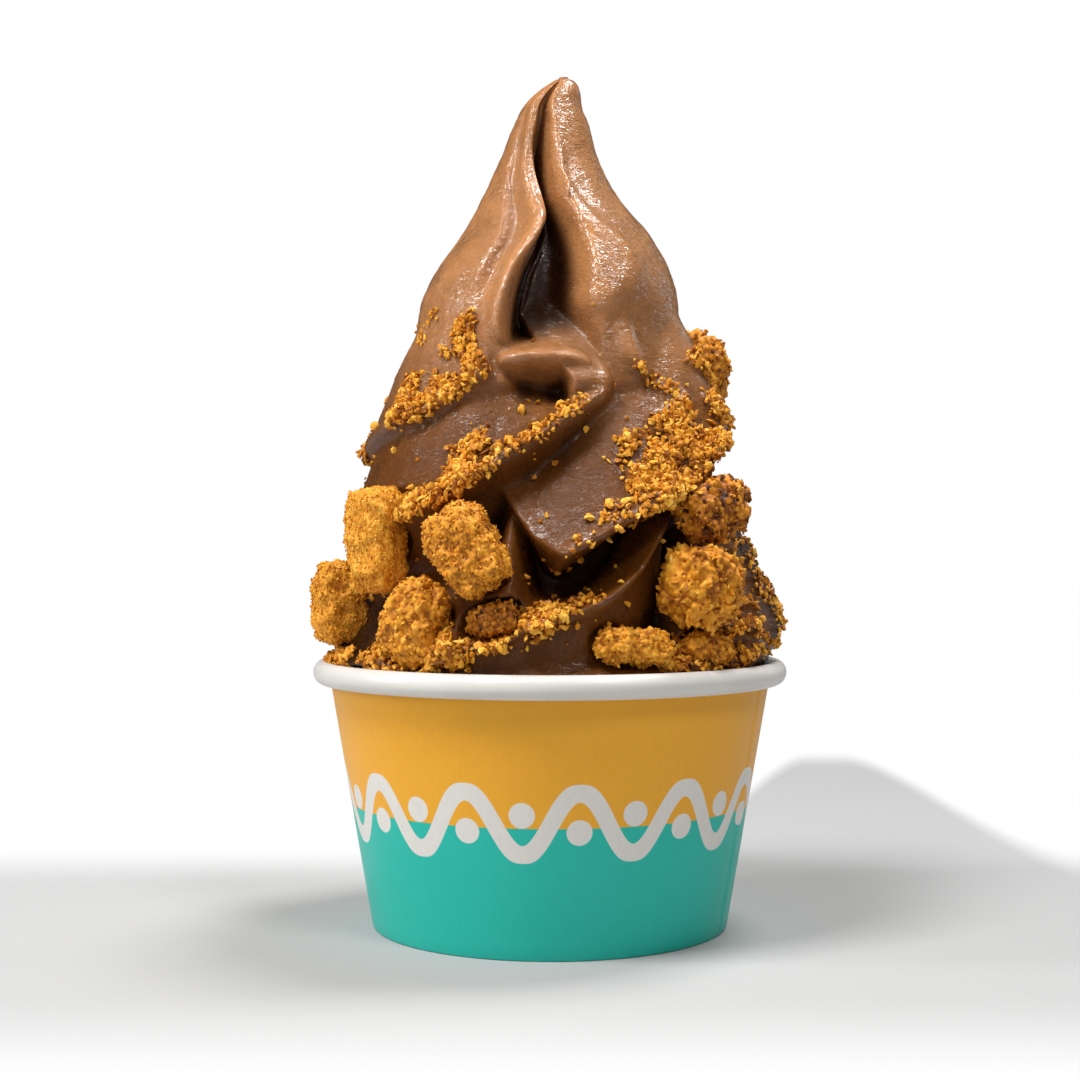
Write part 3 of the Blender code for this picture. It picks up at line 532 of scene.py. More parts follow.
def yogurt_material(look):
    """Soft frozen chocolate yogurt: paler towards the peak, partly painted light from above, and near black
    in the hollows as painted shade.
    """
    material, tree, shader, place = new_material("soft_chocolate")
    hollow_shade = attribute_value(tree, "hollow_shade")
    syrup_and_shade = attribute_value(tree, "syrup_and_shade")
    cover = attribute_value(tree, "cover")
    ridge = attribute_value(tree, "ridge")
    height = put(tree, "ShaderNodeSeparateXYZ", {0: place}).outputs["Z"]
    clouds = noise_value(tree, place, 9, detail=2)
    flecks = noise_value(tree, place, 1.1, detail=4, roughness=0.65)
    # Partly painted light: the peak is painted paler than the folds below, as if lit from above
    high = map_range(tree, height, PEAK_TONE[0] * MM, PEAK_TONE[1] * MM)
    base = mix_colour(tree, high, opaque(look.body_colour), opaque(look.peak_colour))
    shade = math_node(tree, "MULTIPLY_ADD", flecks, 0.7, math_node(tree, "MULTIPLY", clouds, 0.5))
    light = map_range(tree, shade, 0.35, 0.85, 0.72, 1.28, smooth=False)
    # Painted highlight: ridges are painted lighter
    light = math_node(tree, "MULTIPLY_ADD", ridge, 0.25, light)
    # Painted shade: the hollows are painted towards a near black colour
    deep = map_range(tree, hollow_shade, 0.1, 1.0)
    base = mix_colour(tree, deep, scaled(tree, base, light), opaque(look.hollow_shade_colour))
    # Dark glossy syrup. Its near black colour is partly painted shade on the low folds.
    base = mix_colour(tree, syrup_and_shade, base, opaque(look.syrup_and_shade_colour))
    dusted = math_node(tree, "MULTIPLY_ADD", flecks, 0.5, cover)
    base = mix_colour(tree, map_range(tree, dusted, 0.75, 1.05), base, opaque(look.dusted_colour))
    wet = map_range(tree, noise_value(tree, place, 5, detail=4), 0.40, 0.60)
    roughness = map_range(tree, wet, 0, 1, 0.40, 0.26, smooth=False)
    roughness = math_node(tree, "MULTIPLY_ADD", syrup_and_shade, -0.12, roughness)
    across = put(tree, "ShaderNodeMapping", {0: place, 3: (1, 1, 2.4)}).outputs[0]
    normal = add_relief(tree, across, 0.9, 2.2, 0.6, look.relief, 0.5)
    normal = add_relief(tree, place, 0.35, 5.0, 0.1, look.relief, 0.25, under=normal)
    film = map_range(tree, high, 0.0, 1.0, 0.2, 0.85, smooth=False)
    film = math_node(tree, "MULTIPLY_ADD", ridge, 0.5, film)
    wet_share = map_range(tree, wet, 0, 1, 0.4, 1.0)
    syrup_and_shade_share = math_node(tree, "MULTIPLY_ADD", syrup_and_shade, -0.8, 1.0)
    for share in (wet_share, syrup_and_shade_share, look.gloss):
        film = math_node(tree, "MULTIPLY", film, share)
    drops = noise_value(tree, across, 2.0, detail=2, roughness=0.6, distortion=0.6)
    flecked = put(tree, "ShaderNodeBump", {
        "Strength": 1.0, "Distance": FLECK_DEPTH * MM, "Height": drops}).outputs[0]
    set_shader(tree, shader, base_color=base, roughness=roughness, normal=normal, subsurface_weight=0.12,
               subsurface_scale=1.2 * MM, specular_ior_level=0.15, coat_weight=film, coat_roughness=0.07,
               coat_normal=flecked)
    shader.inputs["Subsurface Radius"].default_value = (1.0, 0.6, 0.25)
    return material


def crumb_material(look):
    """Toasted golden crumb: each grain has its own shade, and the ground between them is darker, as painted
    shade.
    """
    material, tree, shader, place = new_material("golden_crumb")
    shade = attribute_value(tree, "shade")
    fine = noise_value(tree, place, 0.7, detail=3, roughness=0.6)
    patches = noise_value(tree, place, 6, detail=1)
    toast = attribute_value(tree, "toast")
    tone = math_node(tree, "MULTIPLY_ADD", shade, 0.62, math_node(tree, "MULTIPLY", fine, 0.42))
    tone = math_node(tree, "MULTIPLY_ADD", patches, 0.3, math_node(tree, "SUBTRACT", tone, 0.17))
    # Toasted pieces are browner; on pieces that lie in shade this is partly painted shade
    tone = math_node(tree, "MULTIPLY_ADD", toast, -0.45, tone)
    colour = ramp(tree, tone, (
        (0.0, linear(52, 24, 4)), (0.2, opaque(look.deep_colour)), (0.5, opaque(look.golden_colour)),
        (0.78, opaque(look.pale_colour)), (1.0, linear(250, 208, 116))))
    normal = add_relief(tree, place, 0.25, 0.9, 0.4, 0.5, 0.25)
    set_shader(tree, shader, base_color=colour, roughness=0.5, normal=normal, specular_ior_level=0.25)
    return material


def print_group():
    """The group "wave_print": a wavy stroke with dots in its bends, from a map in millimetres."""
    group, start = new_group("ShaderNodeTree", "wave_print", (
        ("Along", "Float", 0.0), ("Up", "Float", 0.0), ("Wave Length", "Float", 20.0),
        ("Swing", "Float", 5.5), ("Stroke", "Float", 3.2), ("Dot", "Float", 4.6), ("Middle", "Float", 25.0)),
        "Mask", "Float")
    turns = math_node(group, "DIVIDE", start["Along"], start["Wave Length"])
    angle = math_node(group, "MULTIPLY", turns, math.tau)
    rise = math_node(group, "SUBTRACT", start["Up"], start["Middle"])
    line = math_node(group, "MULTIPLY", math_node(group, "SINE", angle), start["Swing"])
    slope = math_node(group, "MULTIPLY", math_node(group, "COSINE", angle), math_node(
        group, "DIVIDE", math_node(group, "MULTIPLY", start["Swing"], math.tau), start["Wave Length"]))
    steep = math_node(group, "SQRT", math_node(group, "MULTIPLY_ADD", slope, slope, 1.0))
    off_line = math_node(group, "ABSOLUTE", math_node(group, "SUBTRACT", rise, line))
    away = math_node(group, "DIVIDE", off_line, steep)
    half = math_node(group, "MULTIPLY", start["Stroke"], 0.5)
    mask = map_range(group, math_node(group, "SUBTRACT", half, away), -PRINT_EDGE, PRINT_EDGE)
    # a dot in the bend under each crest, and one over each trough
    for phase, side in ((0.25, -1), (0.75, 1)):
        bend = math_node(group, "FRACT", math_node(group, "ADD", turns, 0.5 - phase))
        across = math_node(group, "MULTIPLY", math_node(group, "SUBTRACT", bend, 0.5), start["Wave Length"])
        upward = math_node(group, "MULTIPLY_ADD", start["Swing"], -DOT_PLACE * side, rise)
        reach = math_node(group, "SQRT", math_node(group, "MULTIPLY_ADD", across, across, math_node(
            group, "MULTIPLY", upward, upward)))
        radius = math_node(group, "MULTIPLY", start["Dot"], 0.5)
        dot = map_range(group, math_node(group, "SUBTRACT", radius, reach), -PRINT_EDGE, PRINT_EDGE)
        mask = math_node(group, "MAXIMUM", mask, dot)
    put(group, "NodeGroupOutput", {0: mask})
    return group


def paper_material(look):
    """Satin printed board: a warm field over a cool one, with a pale wave where they meet."""
    material, tree, shader, place = new_material("satin_print")
    uv = put(tree, "ShaderNodeUVMap", uv_map="print_map").outputs[0]
    split = put(tree, "ShaderNodeSeparateXYZ", {0: uv})
    along = math_node(tree, "MULTIPLY", split.outputs["X"], 1 / MM)
    up = math_node(tree, "MULTIPLY", split.outputs["Y"], 1 / MM)
    border = look.border / MM
    upper = map_range(tree, up, border - PRINT_EDGE, border + PRINT_EDGE)
    colour = mix_colour(tree, upper, opaque(look.lower_colour), opaque(look.upper_colour))
    motif = put(tree, "ShaderNodeGroup", {
        "Along": along, "Up": up, "Wave Length": look.wave_length / MM}, node_tree=print_group())
    colour = mix_colour(tree, motif.outputs["Mask"], colour, opaque(look.motif_colour))
    fibre = noise_value(tree, place, 0.8, detail=4, stretch=(1, 1, 0.35))
    light = map_range(tree, fibre, 0.3, 0.7, 0.975, 1.02, smooth=False)
    colour = scaled(tree, colour, light)
    normal = add_relief(tree, place, 0.35, 3.0, 0.3, 0.12, 0.12)
    roughness = map_range(tree, fibre, 0.3, 0.7, 0.34, 0.42, smooth=False)
    set_shader(tree, shader, base_color=colour, roughness=roughness, normal=normal, specular_ior_level=0.2,
               coat_weight=0.03, coat_roughness=0.25)
    return material


def plain_paper_material(look):
    """Bare white coated board, for the rolled rim, the inside and the base."""
    material, tree, shader, place = new_material("white_paper")
    fibre = noise_value(tree, place, 0.7, detail=4)
    cloud = noise_value(tree, place, 12, detail=2)
    tone = math_node(tree, "MULTIPLY_ADD", fibre, 0.4, math_node(tree, "MULTIPLY", cloud, 0.6))
    white = opaque(look.rim_colour)
    shaded = opaque(channel * 0.94 for channel in look.rim_colour)
    colour = mix_colour(tree, map_range(tree, tone, 0.35, 0.65), shaded, white)
    normal = add_relief(tree, place, 0.3, 2.5, 0.4, 0.15, 0.1)
    set_shader(tree, shader, base_color=colour, roughness=0.38, normal=normal, coat_weight=0.2,
               coat_roughness=0.3)
    return material


def smooth_line(at, stations, column):
    """The value of one column of the stations at each place, on a curve with no corner."""
    table = np.array(sorted(stations), float)
    xs = table[:, 0]
    slopes = np.gradient(table, xs, axis=0)
    at = np.clip(at, xs[0], xs[-1])
    i = np.clip(np.searchsorted(xs, at) - 1, 0, len(xs) - 2)
    span = xs[i + 1] - xs[i]
    t = (at - xs[i]) / span
    return (
        (1 + 2 * t) * (1 - t) ** 2 * table[i, column]
        + t * (1 - t) ** 2 * span * slopes[i, column]
        + t * t * (3 - 2 * t) * table[i + 1, column]
        + t * t * (t - 1) * span * slopes[i + 1, column]
    )


def smooth_step(low, high, value):
    """Rises from 0 to 1 between low and high, with no corner."""
    t = np.clip((value - low) / (high - low), 0, 1)
    return t * t * (3 - 2 * t)


def soft_max(a, b, blend):
    """The larger of two, with the crease between them rounded."""
    return 0.5 * (a + b + np.sqrt((a - b) ** 2 + blend * blend))


def soft_min(a, b, blend):
    """The smaller of two, with the crease between them rounded."""
    return -soft_max(-a, -b, blend)


def cup_outer_radius(height):
    """The outside of the paper wall."""
    return BASE_RADIUS + (NECK_RADIUS - BASE_RADIUS) * height / NECK_HEIGHT


def cup_inner_radius(height):
    """The inside of the paper wall, and above the neck the inside of the rolled rim."""
    return np.minimum(cup_outer_radius(height) - PAPER, RIM_RADIUS - 2 * BEAD_HALF_WIDTH)


def fold_place(fold, azimuth, height):
    """Each place's azimuth as the fold counts it, and its height above the fold's lip."""
    middle = (fold.stations[0][0] + fold.stations[-1][0]) / 2
    along = middle + (azimuth - middle + 180) % 360 - 180
    return along, height - smooth_line(along, fold.stations, 1)


def fold_radius(fold, azimuth, height):
    """How far one fold reaches from the axis at each azimuth and height."""
    first, last = fold.stations[0][0], fold.stations[-1][0]
    along, above = fold_place(fold, azimuth, height)
    lip = smooth_line(along, fold.stations, 2)
    slope = smooth_line(along, fold.stations, np.where(above > 0, 3, 4))
    rounding = fold.width / 2
    bend = np.sqrt(above * above + rounding**2) - rounding
    bead = fold.bead * np.exp(-((above / fold.width) ** 2))
    left_end = first - fold.lean * np.maximum(above, 0)
    shown = smooth_step(0, fold.fade[0], along - left_end) * smooth_step(0, fold.fade[1], last - along)
    curl = CURL * np.maximum(above - CURL_HEIGHT, 0) ** 2
    return lip + bead - slope * bend - curl - END_DROP * (1 - shown)


def peak_circle(height):
    """The peak's outline at each height, as the place of a circle along X and its radius."""
    left = smooth_line(height, PEAK_OUTLINE, 1)
    right = smooth_line(height, PEAK_OUTLINE, 2)
    return (right - left) / 2 * smooth_step(*PEAK_LEAN, height), (left + right) / 2


def ray_origin(height):
    """Where along X the rays start that draw the swirl: left of the peak's middle, so that the
    left wall of its flute hangs over and the right one lies open."""
    middle, radius = peak_circle(height)
    shift = PEAK_SHIFT * smooth_step(*SHIFT_HEIGHTS, height)
    return middle - np.minimum(shift, SHIFT_SHARE * radius)


def azimuth_about(centre, origin, azimuth, reach):
    """The azimuth about a centre on X of the point at so far along the ray from the origin."""
    turn = np.radians(azimuth)
    return np.degrees(np.arctan2(origin + reach * np.sin(turn) - centre, reach * np.cos(turn)))


def reach_to_circle(centre, radius, origin, azimuth):
    """How far the ray from the origin goes before it meets a circle about a centre on X. A fold
    that isn't there has a radius below the distance between the two, and keeps it."""
    turn = np.radians(azimuth)
    off = centre - origin
    room = radius**2 - (off * np.cos(turn)) ** 2
    met = off * np.sin(turn) + np.sqrt(np.maximum(room, 1))
    return np.where(radius > np.abs(off) + 1, met, radius - np.abs(off))


def peak_reach(azimuth, height, origin):
    """How far the fluted peak reaches along each ray."""
    middle, radius = peak_circle(height)
    radius = np.maximum(radius, 1)
    reach = reach_to_circle(middle, radius, origin, azimuth)
    around = azimuth_about(middle, origin, azimuth, reach)
    for flute, squareness in FLUTES:
        at = smooth_line(height, flute, 1)
        width = smooth_line(height, flute, 2)
        depth = smooth_line(height, flute, 3)
        off = (around - at + 180) % 360 - 180
        reach = reach * (1 - depth * np.exp(-np.abs(off / width) ** squareness))
    return reach - PEAK_FOOT_DROP * (1 - smooth_step(*PEAK_FOOT, height))


def fold_reach(fold, azimuth, height, origin):
    """How far a fold, which winds round the cup's axis, reaches along each ray."""
    around = azimuth_about(0, origin, azimuth, reach_to_circle(0, HIGH_FOLD_REACH, origin, azimuth))
    return reach_to_circle(0, fold_radius(fold, around, height), origin, azimuth)


def biscuit_frame(biscuit):
    """The matrix that puts a biscuit in its place: depth along local Y, height along local Z."""
    turn = math.radians(biscuit.azimuth)
    place = Vector((biscuit.reach * math.sin(turn), -biscuit.reach * math.cos(turn), biscuit.height))
    spin = Euler((0, 0, turn + math.radians(biscuit.yaw))).to_matrix()
    roll = Euler((0, math.radians(biscuit.roll), 0)).to_matrix()
    return Matrix.Translation(place) @ (spin @ roll).to_4x4()


def biscuit_entry(biscuit, azimuth, height, start_x):
    """How far a ray that starts on the X axis goes before it meets the biscuit, its relief and gap."""
    width, tall, deep = biscuit.size
    half = np.array((width, deep, tall)) / 2 + BISCUIT_ROUGHNESS + GAP
    span = np.linalg.norm(half)
    side = np.radians((azimuth - biscuit.azimuth + 180) % 360 - 180) * biscuit.reach
    near = (np.abs(height - biscuit.height) < span) & (np.abs(side) < 2 * span)
    reach = np.full(azimuth.shape, np.inf)
    if not near.any():
        return reach
    inverse = np.array(biscuit_frame(biscuit).inverted())
    turn, level, start = np.radians(azimuth[near]), height[near], start_x[near]
    flat = np.zeros_like(level)
    origin = np.stack([start, flat, level, flat + 1], -1) @ inverse.T
    ray = np.stack([np.sin(turn), -np.cos(turn), flat, flat], -1) @ inverse.T
    entry = np.full(level.shape, np.inf)
    for step in np.arange(biscuit.reach + span, biscuit.reach - span - RAY_STEP, -RAY_STEP):
        at = (origin + step * ray)[..., :3] / half
        at[..., 0] /= 1 + biscuit.taper * np.clip(at[..., 2], -1, 1)
        entry = np.where((np.abs(at) ** biscuit.square).sum(-1) < 1, step, entry)
    reach[near] = entry - RAY_STEP
    return reach


def swirl_radius(azimuth, height):
    """The radius of the whole serving at each azimuth and height, before the biscuits press in."""
    origin = ray_origin(height)
    radius = smooth_line(height, HEART, 1)
    for fold in FOLDS:
        radius = soft_max(radius, fold_reach(fold, azimuth, height, origin), CREASE_BLEND)
    radius = soft_max(radius, peak_reach(azimuth, height, origin), CREASE_BLEND)
    inside = cup_inner_radius(height) - GAP
    over_rim = np.maximum(height - CUP_HEIGHT - RIM_CLEARANCE, 0)
    return soft_min(radius, inside + RIM_SPREAD * over_rim, RIM_BLEND)


def swirl_rows(azimuths, low, high, rows):
    """Heights for each column of the mesh, evenly spaced along the surface, not along the axis."""
    fine = np.linspace(low, high, ROW_SAMPLES)
    heights = np.empty((len(azimuths), rows))
    for i, azimuth in enumerate(azimuths):
        radius = swirl_radius(np.full_like(fine, azimuth), fine)
        steps = np.hypot(np.diff(radius), np.diff(fine))
        along = np.concatenate([[0], np.cumsum(steps)])
        heights[i] = np.interp(np.linspace(0, along[-1], rows), along, fine)
    for _ in range(ROW_PASSES):
        heights = (np.roll(heights, 1, 0) + 2 * heights + np.roll(heights, -1, 0)) / 4
    return heights


def blurred(grid, columns, rows):
    """A grid round the swirl, averaged over so many columns and rows to each side."""
    wide = sum(np.roll(grid, shift, 0) for shift in range(-columns, columns + 1)) / (2 * columns + 1)
    padded = np.pad(wide, ((0, 0), (rows, rows)), mode="edge")
    return sum(padded[:, shift:shift + grid.shape[1]] for shift in range(2 * rows + 1)) / (2 * rows + 1)


def ripple(points, size, stretch=(1, 1, 1)):
    """Smooth noise from -1 to 1 at each point, with features of about size millimetres."""
    flat = (points * np.array(stretch) / size).reshape(-1, 3)
    values = np.array([noise.noise(Vector(p)) for p in flat])
    return values.reshape(points.shape[:-1])


def rippled(points, layers):
    """The sum of several layers of noise at each point."""
    return sum(layer.strength * ripple(points + layer.shift, layer.size, layer.stretch) for layer in layers)


def cover_field(azimuth, height, patchy):
    """How thick the crumbs lie at each place, from 0 to 1, and how high they are heaped."""
    cover = np.zeros_like(height)
    heap = np.zeros_like(height)
    for patch in COVERS:
        along, above = fold_place(patch.fold, azimuth, height)
        ends = smooth_step(patch.start - COVER_ENDS, patch.start + COVER_ENDS, along)
        ends = ends * smooth_step(-patch.stop - COVER_ENDS, -patch.stop + COVER_ENDS, -along)
        band = smooth_step(-patch.below - COVER_LOWER[0], -patch.below + COVER_LOWER[1], above)
        band = band * smooth_step(-patch.above - COVER_UPPER[0], -patch.above + COVER_UPPER[1], -above)
        cover = np.maximum(cover, patch.amount * ends * band)
        heap = np.maximum(heap, patch.heap * ends * band)
    scatter = COVER_SCATTER * smooth_step(-SCATTER_HEIGHTS[1], -SCATTER_HEIGHTS[0], -height)
    patches = smooth_step(*PATCH_GAPS, patchy)
    return np.clip(cover * patches + scatter, 0, 1), heap * patches


def syrup_and_shade_field(azimuth, height):
    """Where dark glossy syrup lies, its dark colour partly painted shade: low at the left and on the swelling
    at the right.
    """
    syrup_and_shade = np.zeros_like(height)
    for patch in SYRUP_AND_SHADE_PATCHES:
        ends = smooth_step(*patch.start, azimuth) * smooth_step(-patch.stop[1], -patch.stop[0], -azimuth)
        syrup_and_shade = syrup_and_shade + patch.amount * (ends * smooth_step(-patch.top[1], -patch.top[0], -height))
    return np.clip(syrup_and_shade, 0, 1)


def add_object(name, data):
    """A new object in the scene, at the origin."""
    thing = bpy.data.objects.new(name, data)
    bpy.context.scene.collection.objects.link(thing)
    return thing


def mesh_object(name, points, faces, material):
    """A new smooth object at the origin from points in millimetres."""
    mesh = bpy.data.meshes.new(name)
    mesh.from_pydata((np.asarray(points, float) * MM).tolist(), [], faces)
    mesh.materials.append(material)
    mesh.shade_smooth()
    return add_object(name, mesh)


def store_values(mesh, name, values):
    """Keeps one number for each point of a mesh under a name that materials can read."""
    attribute = mesh.attributes.new(name, "FLOAT", "POINT")
    attribute.data.foreach_set("value", np.asarray(values, np.float32).ravel())


def make_swirl(look, material):
    """The yogurt's skin from the floor of the cup to the tip."""
    columns, rows = look.columns, look.rows
    even = np.arange(columns) / columns - 0.5
    azimuths = 360 * even - math.degrees(FRONT_DENSITY) * np.sin(math.tau * even)
    floor = BASE_RECESS + PAPER + GAP
    heights = swirl_rows(azimuths, CUP_HEIGHT - ROWS_BELOW_RIM, PEAK_HEIGHT, rows - 1)
    heights = np.concatenate([np.full((columns, 1), floor), heights], 1)
    azimuth = np.repeat(azimuths[:, None], rows, 1)
    radius = swirl_radius(azimuth, heights)
    origin = ray_origin(heights)
    turn = np.radians(azimuth)
    outward = np.stack([np.sin(turn), -np.cos(turn), np.zeros_like(turn)], -1)
    points = outward * radius[..., None]
    points[..., 2] = heights
    above_rim, below_tip = UNEVEN_HEIGHTS
    free = smooth_step(CUP_HEIGHT, CUP_HEIGHT + above_rim, heights)
    free = free * smooth_step(-PEAK_HEIGHT, -PEAK_HEIGHT + below_tip, -heights)
    relief = rippled(points, WRINKLES)
    # Painted shade: how deep each place lies in a hollow, for darkening its colour
    hollow_shade = smooth_step(*HOLLOW_SHADE_DEPTHS, blurred(radius, *HOLLOW_SHADE_REACH) - radius)
    ridge = smooth_step(*RIDGE_HEIGHTS, radius - blurred(radius, *RIDGE_REACH))
    carved = reach_to_circle(*peak_circle(heights), origin, azimuth) - radius
    hollow_shade = np.maximum(hollow_shade, smooth_step(*CARVED_SHADE_DEPTHS, carved) * smooth_step(*SHIFT_HEIGHTS, heights))
    cover, heap = cover_field(azimuth, heights, rippled(points, PATCHES))
    cover = cover * smooth_step(CUP_HEIGHT - COVER_RIM, CUP_HEIGHT + COVER_RIM, heights)
    heap = heap * (HEAP_MEAN + rippled(points, HEAP_LUMPS))
    radius = radius + (look.wrinkles / MM * relief + heap) * free
    for biscuit in BISCUITS:
        radius = np.minimum(radius, biscuit_entry(biscuit, azimuth, heights, origin))
    points = outward * radius[..., None]
    points[..., 0] += origin
    points[..., 2] = heights
    here = np.arange(columns * rows).reshape(columns, rows)
    right = np.roll(here, -1, 0)
    quads = np.stack([here[:, :-1], right[:, :-1], right[:, 1:], here[:, 1:]], -1).reshape(-1, 4)
    faces = quads.tolist() + [here[::-1, 0].tolist(), here[:, -1].tolist()]
    swirl = mesh_object("yogurt_swirl", points.reshape(-1, 3), faces, material)
    fields = {"hollow_shade": hollow_shade, "syrup_and_shade": syrup_and_shade_field(azimuth, heights), "cover": cover, "ridge": ridge}
    for name, values in fields.items():
        store_values(swirl.data, name, values)
    return swirl


def lathe(name, profile, material, segments, push=None, uv_name=None):
    """A closed ring turned from a closed profile of (radius, height) points."""
    profile = np.array(profile, float)
    turn = np.arange(segments) * math.tau / segments
    radius = np.repeat(profile[None, :, 0], segments, 0)
    height = np.repeat(profile[None, :, 1], segments, 0)
    if push is not None:
        radius = radius + push(np.degrees(turn)[:, None], radius, height)
    points = np.stack([radius * np.sin(turn)[:, None], -radius * np.cos(turn)[:, None], height], -1)
    count = len(profile)
    here = np.arange(segments * count).reshape(segments, count)
    right = np.roll(here, -1, 0)
    down, over = np.roll(here, -1, 1), np.roll(right, -1, 1)
    faces = np.stack([here, right, over, down], -1).reshape(-1, 4).tolist()
    thing = mesh_object(name, points.reshape(-1, 3), faces, material)
    if uv_name:
        layer = thing.data.uv_layers.new(name=uv_name)
        steps = np.repeat(np.arange(segments)[:, None], count, 1)
        arc = math.tau * MAP_RADIUS / segments * MM
        us = np.stack([steps, steps + 1, steps + 1, steps], -1) * arc
        low, high = height * MM, np.roll(height, -1, 1) * MM
        vs = np.stack([low, low, high, high], -1)
        layer.data.foreach_set("uv", np.stack([us, vs], -1).ravel())
    thing.data.set_sharp_from_angle(angle=math.radians(SHARP_ANGLE))
    return thing


def arc_points(centre, radii, start, stop, steps):
    """Points of an elliptical arc, its angles in degrees."""
    angles = np.radians(np.linspace(start, stop, steps))
    return [(centre[0] + radii[0] * math.cos(a), centre[1] + radii[1] * math.sin(a)) for a in angles]


def make_sleeve(material):
    """The printed wall, with the lap of its glued seam standing a little proud."""
    def lap(azimuth, radius, height):
        off = (azimuth - SEAM_AZIMUTH + 180) % 360 - 180
        raised = SEAM_STEP * smooth_step(-SEAM_RISE, 0.0, off) * smooth_step(-SEAM_LAP[1], -SEAM_LAP[0], -off)
        outside = radius > cup_inner_radius(height) + PAPER / 2
        return np.where(outside, raised * smooth_step(0, SEAM_FOOT, height), 0)

    outer = [(cup_outer_radius(h), h) for h in np.linspace(NECK_HEIGHT, FOOT_ROUND + 0.3, 24)]
    foot = arc_points((BASE_RADIUS - FOOT_ROUND, FOOT_ROUND), (FOOT_ROUND, FOOT_ROUND), 0, -90, 5)
    inner = [(BASE_RADIUS - 2 * PAPER, 0.0)]
    inner += [(float(cup_inner_radius(h)) - PAPER_CLEARANCE, h) for h in np.linspace(2.0, NECK_HEIGHT, 6)]
    return lathe("cup_sleeve", outer + foot + inner, material, segments=360, push=lap, uv_name="print_map")


def make_rim(material):
    """The rolled rim: the wall's edge curled outwards and down."""
    centre = (RIM_RADIUS - BEAD_HALF_WIDTH, BEAD_HEIGHT)
    radii = (BEAD_HALF_WIDTH, BEAD_HALF_HEIGHT)
    outside = arc_points(centre, radii, -118, 182, 40)
    inner_radii = tuple(r - BEAD_PAPER for r in radii)
    inside = arc_points(centre, inner_radii, 182, -112, 32)
    return lathe("cup_rim", (outside + inside)[::-1], material, segments=256)


def make_inside(material):
    """The raised base disc and the skirt that holds it."""
    top, under = BASE_RECESS + PAPER, BASE_RECESS
    wall = BASE_RADIUS - 2 * PAPER - PAPER_CLEARANCE
    edge = float(cup_inner_radius(top)) - DISC_CLEARANCE
    skirt = BASE_RADIUS - SKIRT
    profile = [(0.01, top), (edge, top), (wall, DISC_CLEARANCE), (skirt, DISC_CLEARANCE),
               (skirt, under - 0.4), (skirt - 0.4, under), (0.01, under)]
    return lathe("cup_base", profile[::-1], material, segments=192)


def crumb_tree():
    """Geometry nodes that strew crumbs over a surface where its "cover" says."""
    tree = bpy.data.node_groups.get("strewn_crumbs")
    if tree:
        return tree
    tree, start = new_group("GeometryNodeTree", "strewn_crumbs", (
        ("Surface", "Geometry", None), ("Density", "Float", 1e6), ("Least Size", "Float", 0.0003),
        ("Greatest Size", "Float", 0.0006), ("Lift", "Float", 0.0004), ("Flatness", "Vector", (1, 1, 1)),
        ("Detail", "Int", 1), ("Seed", "Int", 1), ("Finish", "Material", None)), "Crumbs", "Geometry")
    cover = put(tree, "GeometryNodeInputNamedAttribute", {"Name": "cover"}, data_type="FLOAT").outputs[0]
    density = math_node(tree, "MULTIPLY", start["Density"], cover)
    points = put(tree, "GeometryNodeDistributePointsOnFaces", {
        "Mesh": start["Surface"], "Density": density, "Seed": start["Seed"]}, distribute_method="RANDOM")
    lift = random_value(tree, "FLOAT", 0.0, start["Lift"], start["Seed"], 3)
    offset = scaled(tree, points.outputs["Normal"], lift)
    lifted = put(tree, "GeometryNodeSetPosition", {"Geometry": points.outputs["Points"], "Offset": offset})
    ball = put(tree, "GeometryNodeMeshIcoSphere", {"Radius": 1.0, "Subdivisions": start["Detail"]})
    lump = put(tree, "ShaderNodeTexNoise", {"Scale": 1.5, "Detail": 3.0})
    swell = map_range(tree, lump.outputs[0], 0.3, 0.7, -0.45, 0.45, smooth=False)
    normal = put(tree, "GeometryNodeInputNormal").outputs[0]
    knob = scaled(tree, normal, swell)
    crumb = put(tree, "GeometryNodeSetPosition", {"Geometry": ball.outputs["Mesh"], "Offset": knob})
    size = random_value(tree, "FLOAT", start["Least Size"], start["Greatest Size"], start["Seed"], 5)
    shape = random_value(tree, "FLOAT_VECTOR", (0.6, 0.6, 0.6), (1.15, 1.15, 1.15), start["Seed"], 7)
    flattened = put(tree, "ShaderNodeVectorMath", {0: shape, 1: start["Flatness"]}, operation="MULTIPLY")
    scale = scaled(tree, flattened.outputs[0], size)
    spin = random_value(tree, "FLOAT_VECTOR", (0, 0, 0), (math.tau,) * 3, start["Seed"], 11)
    rotation = put(tree, "FunctionNodeEulerToRotation", {0: spin}).outputs[0]
    placed = put(tree, "GeometryNodeInstanceOnPoints", {
        "Points": lifted.outputs[0], "Instance": crumb.outputs[0], "Rotation": rotation, "Scale": scale})
    tint = random_value(tree, "FLOAT", 0.0, 1.0, start["Seed"], 13)
    tinted = put(tree, "GeometryNodeStoreNamedAttribute", {
        "Geometry": placed.outputs[0], "Name": "shade", "Value": tint}, data_type="FLOAT", domain="INSTANCE")
    real = put(tree, "GeometryNodeRealizeInstances", {"Geometry": tinted.outputs[0]})
    finished = put(tree, "GeometryNodeSetMaterial", {
        "Geometry": real.outputs[0], "Material": start["Finish"]})
    put(tree, "NodeGroupOutput", {0: finished.outputs[0]})
    return tree


def random_value(tree, kind, low, high, seed, salt):
    """The output of a Random Value node, its seed set apart from the others by salt."""
    node = put(tree, "FunctionNodeRandomValue", data_type=kind)
    live = [socket for socket in node.inputs if socket.enabled]
    for socket, value in zip(live, (low, high)):
        if isinstance(value, bpy.types.NodeSocket):
            tree.links.new(value, socket)
        else:
            socket.default_value = value
    tree.links.new(math_node(tree, "ADD", seed, salt), node.inputs["Seed"])
    return next(socket for socket in node.outputs if socket.enabled)


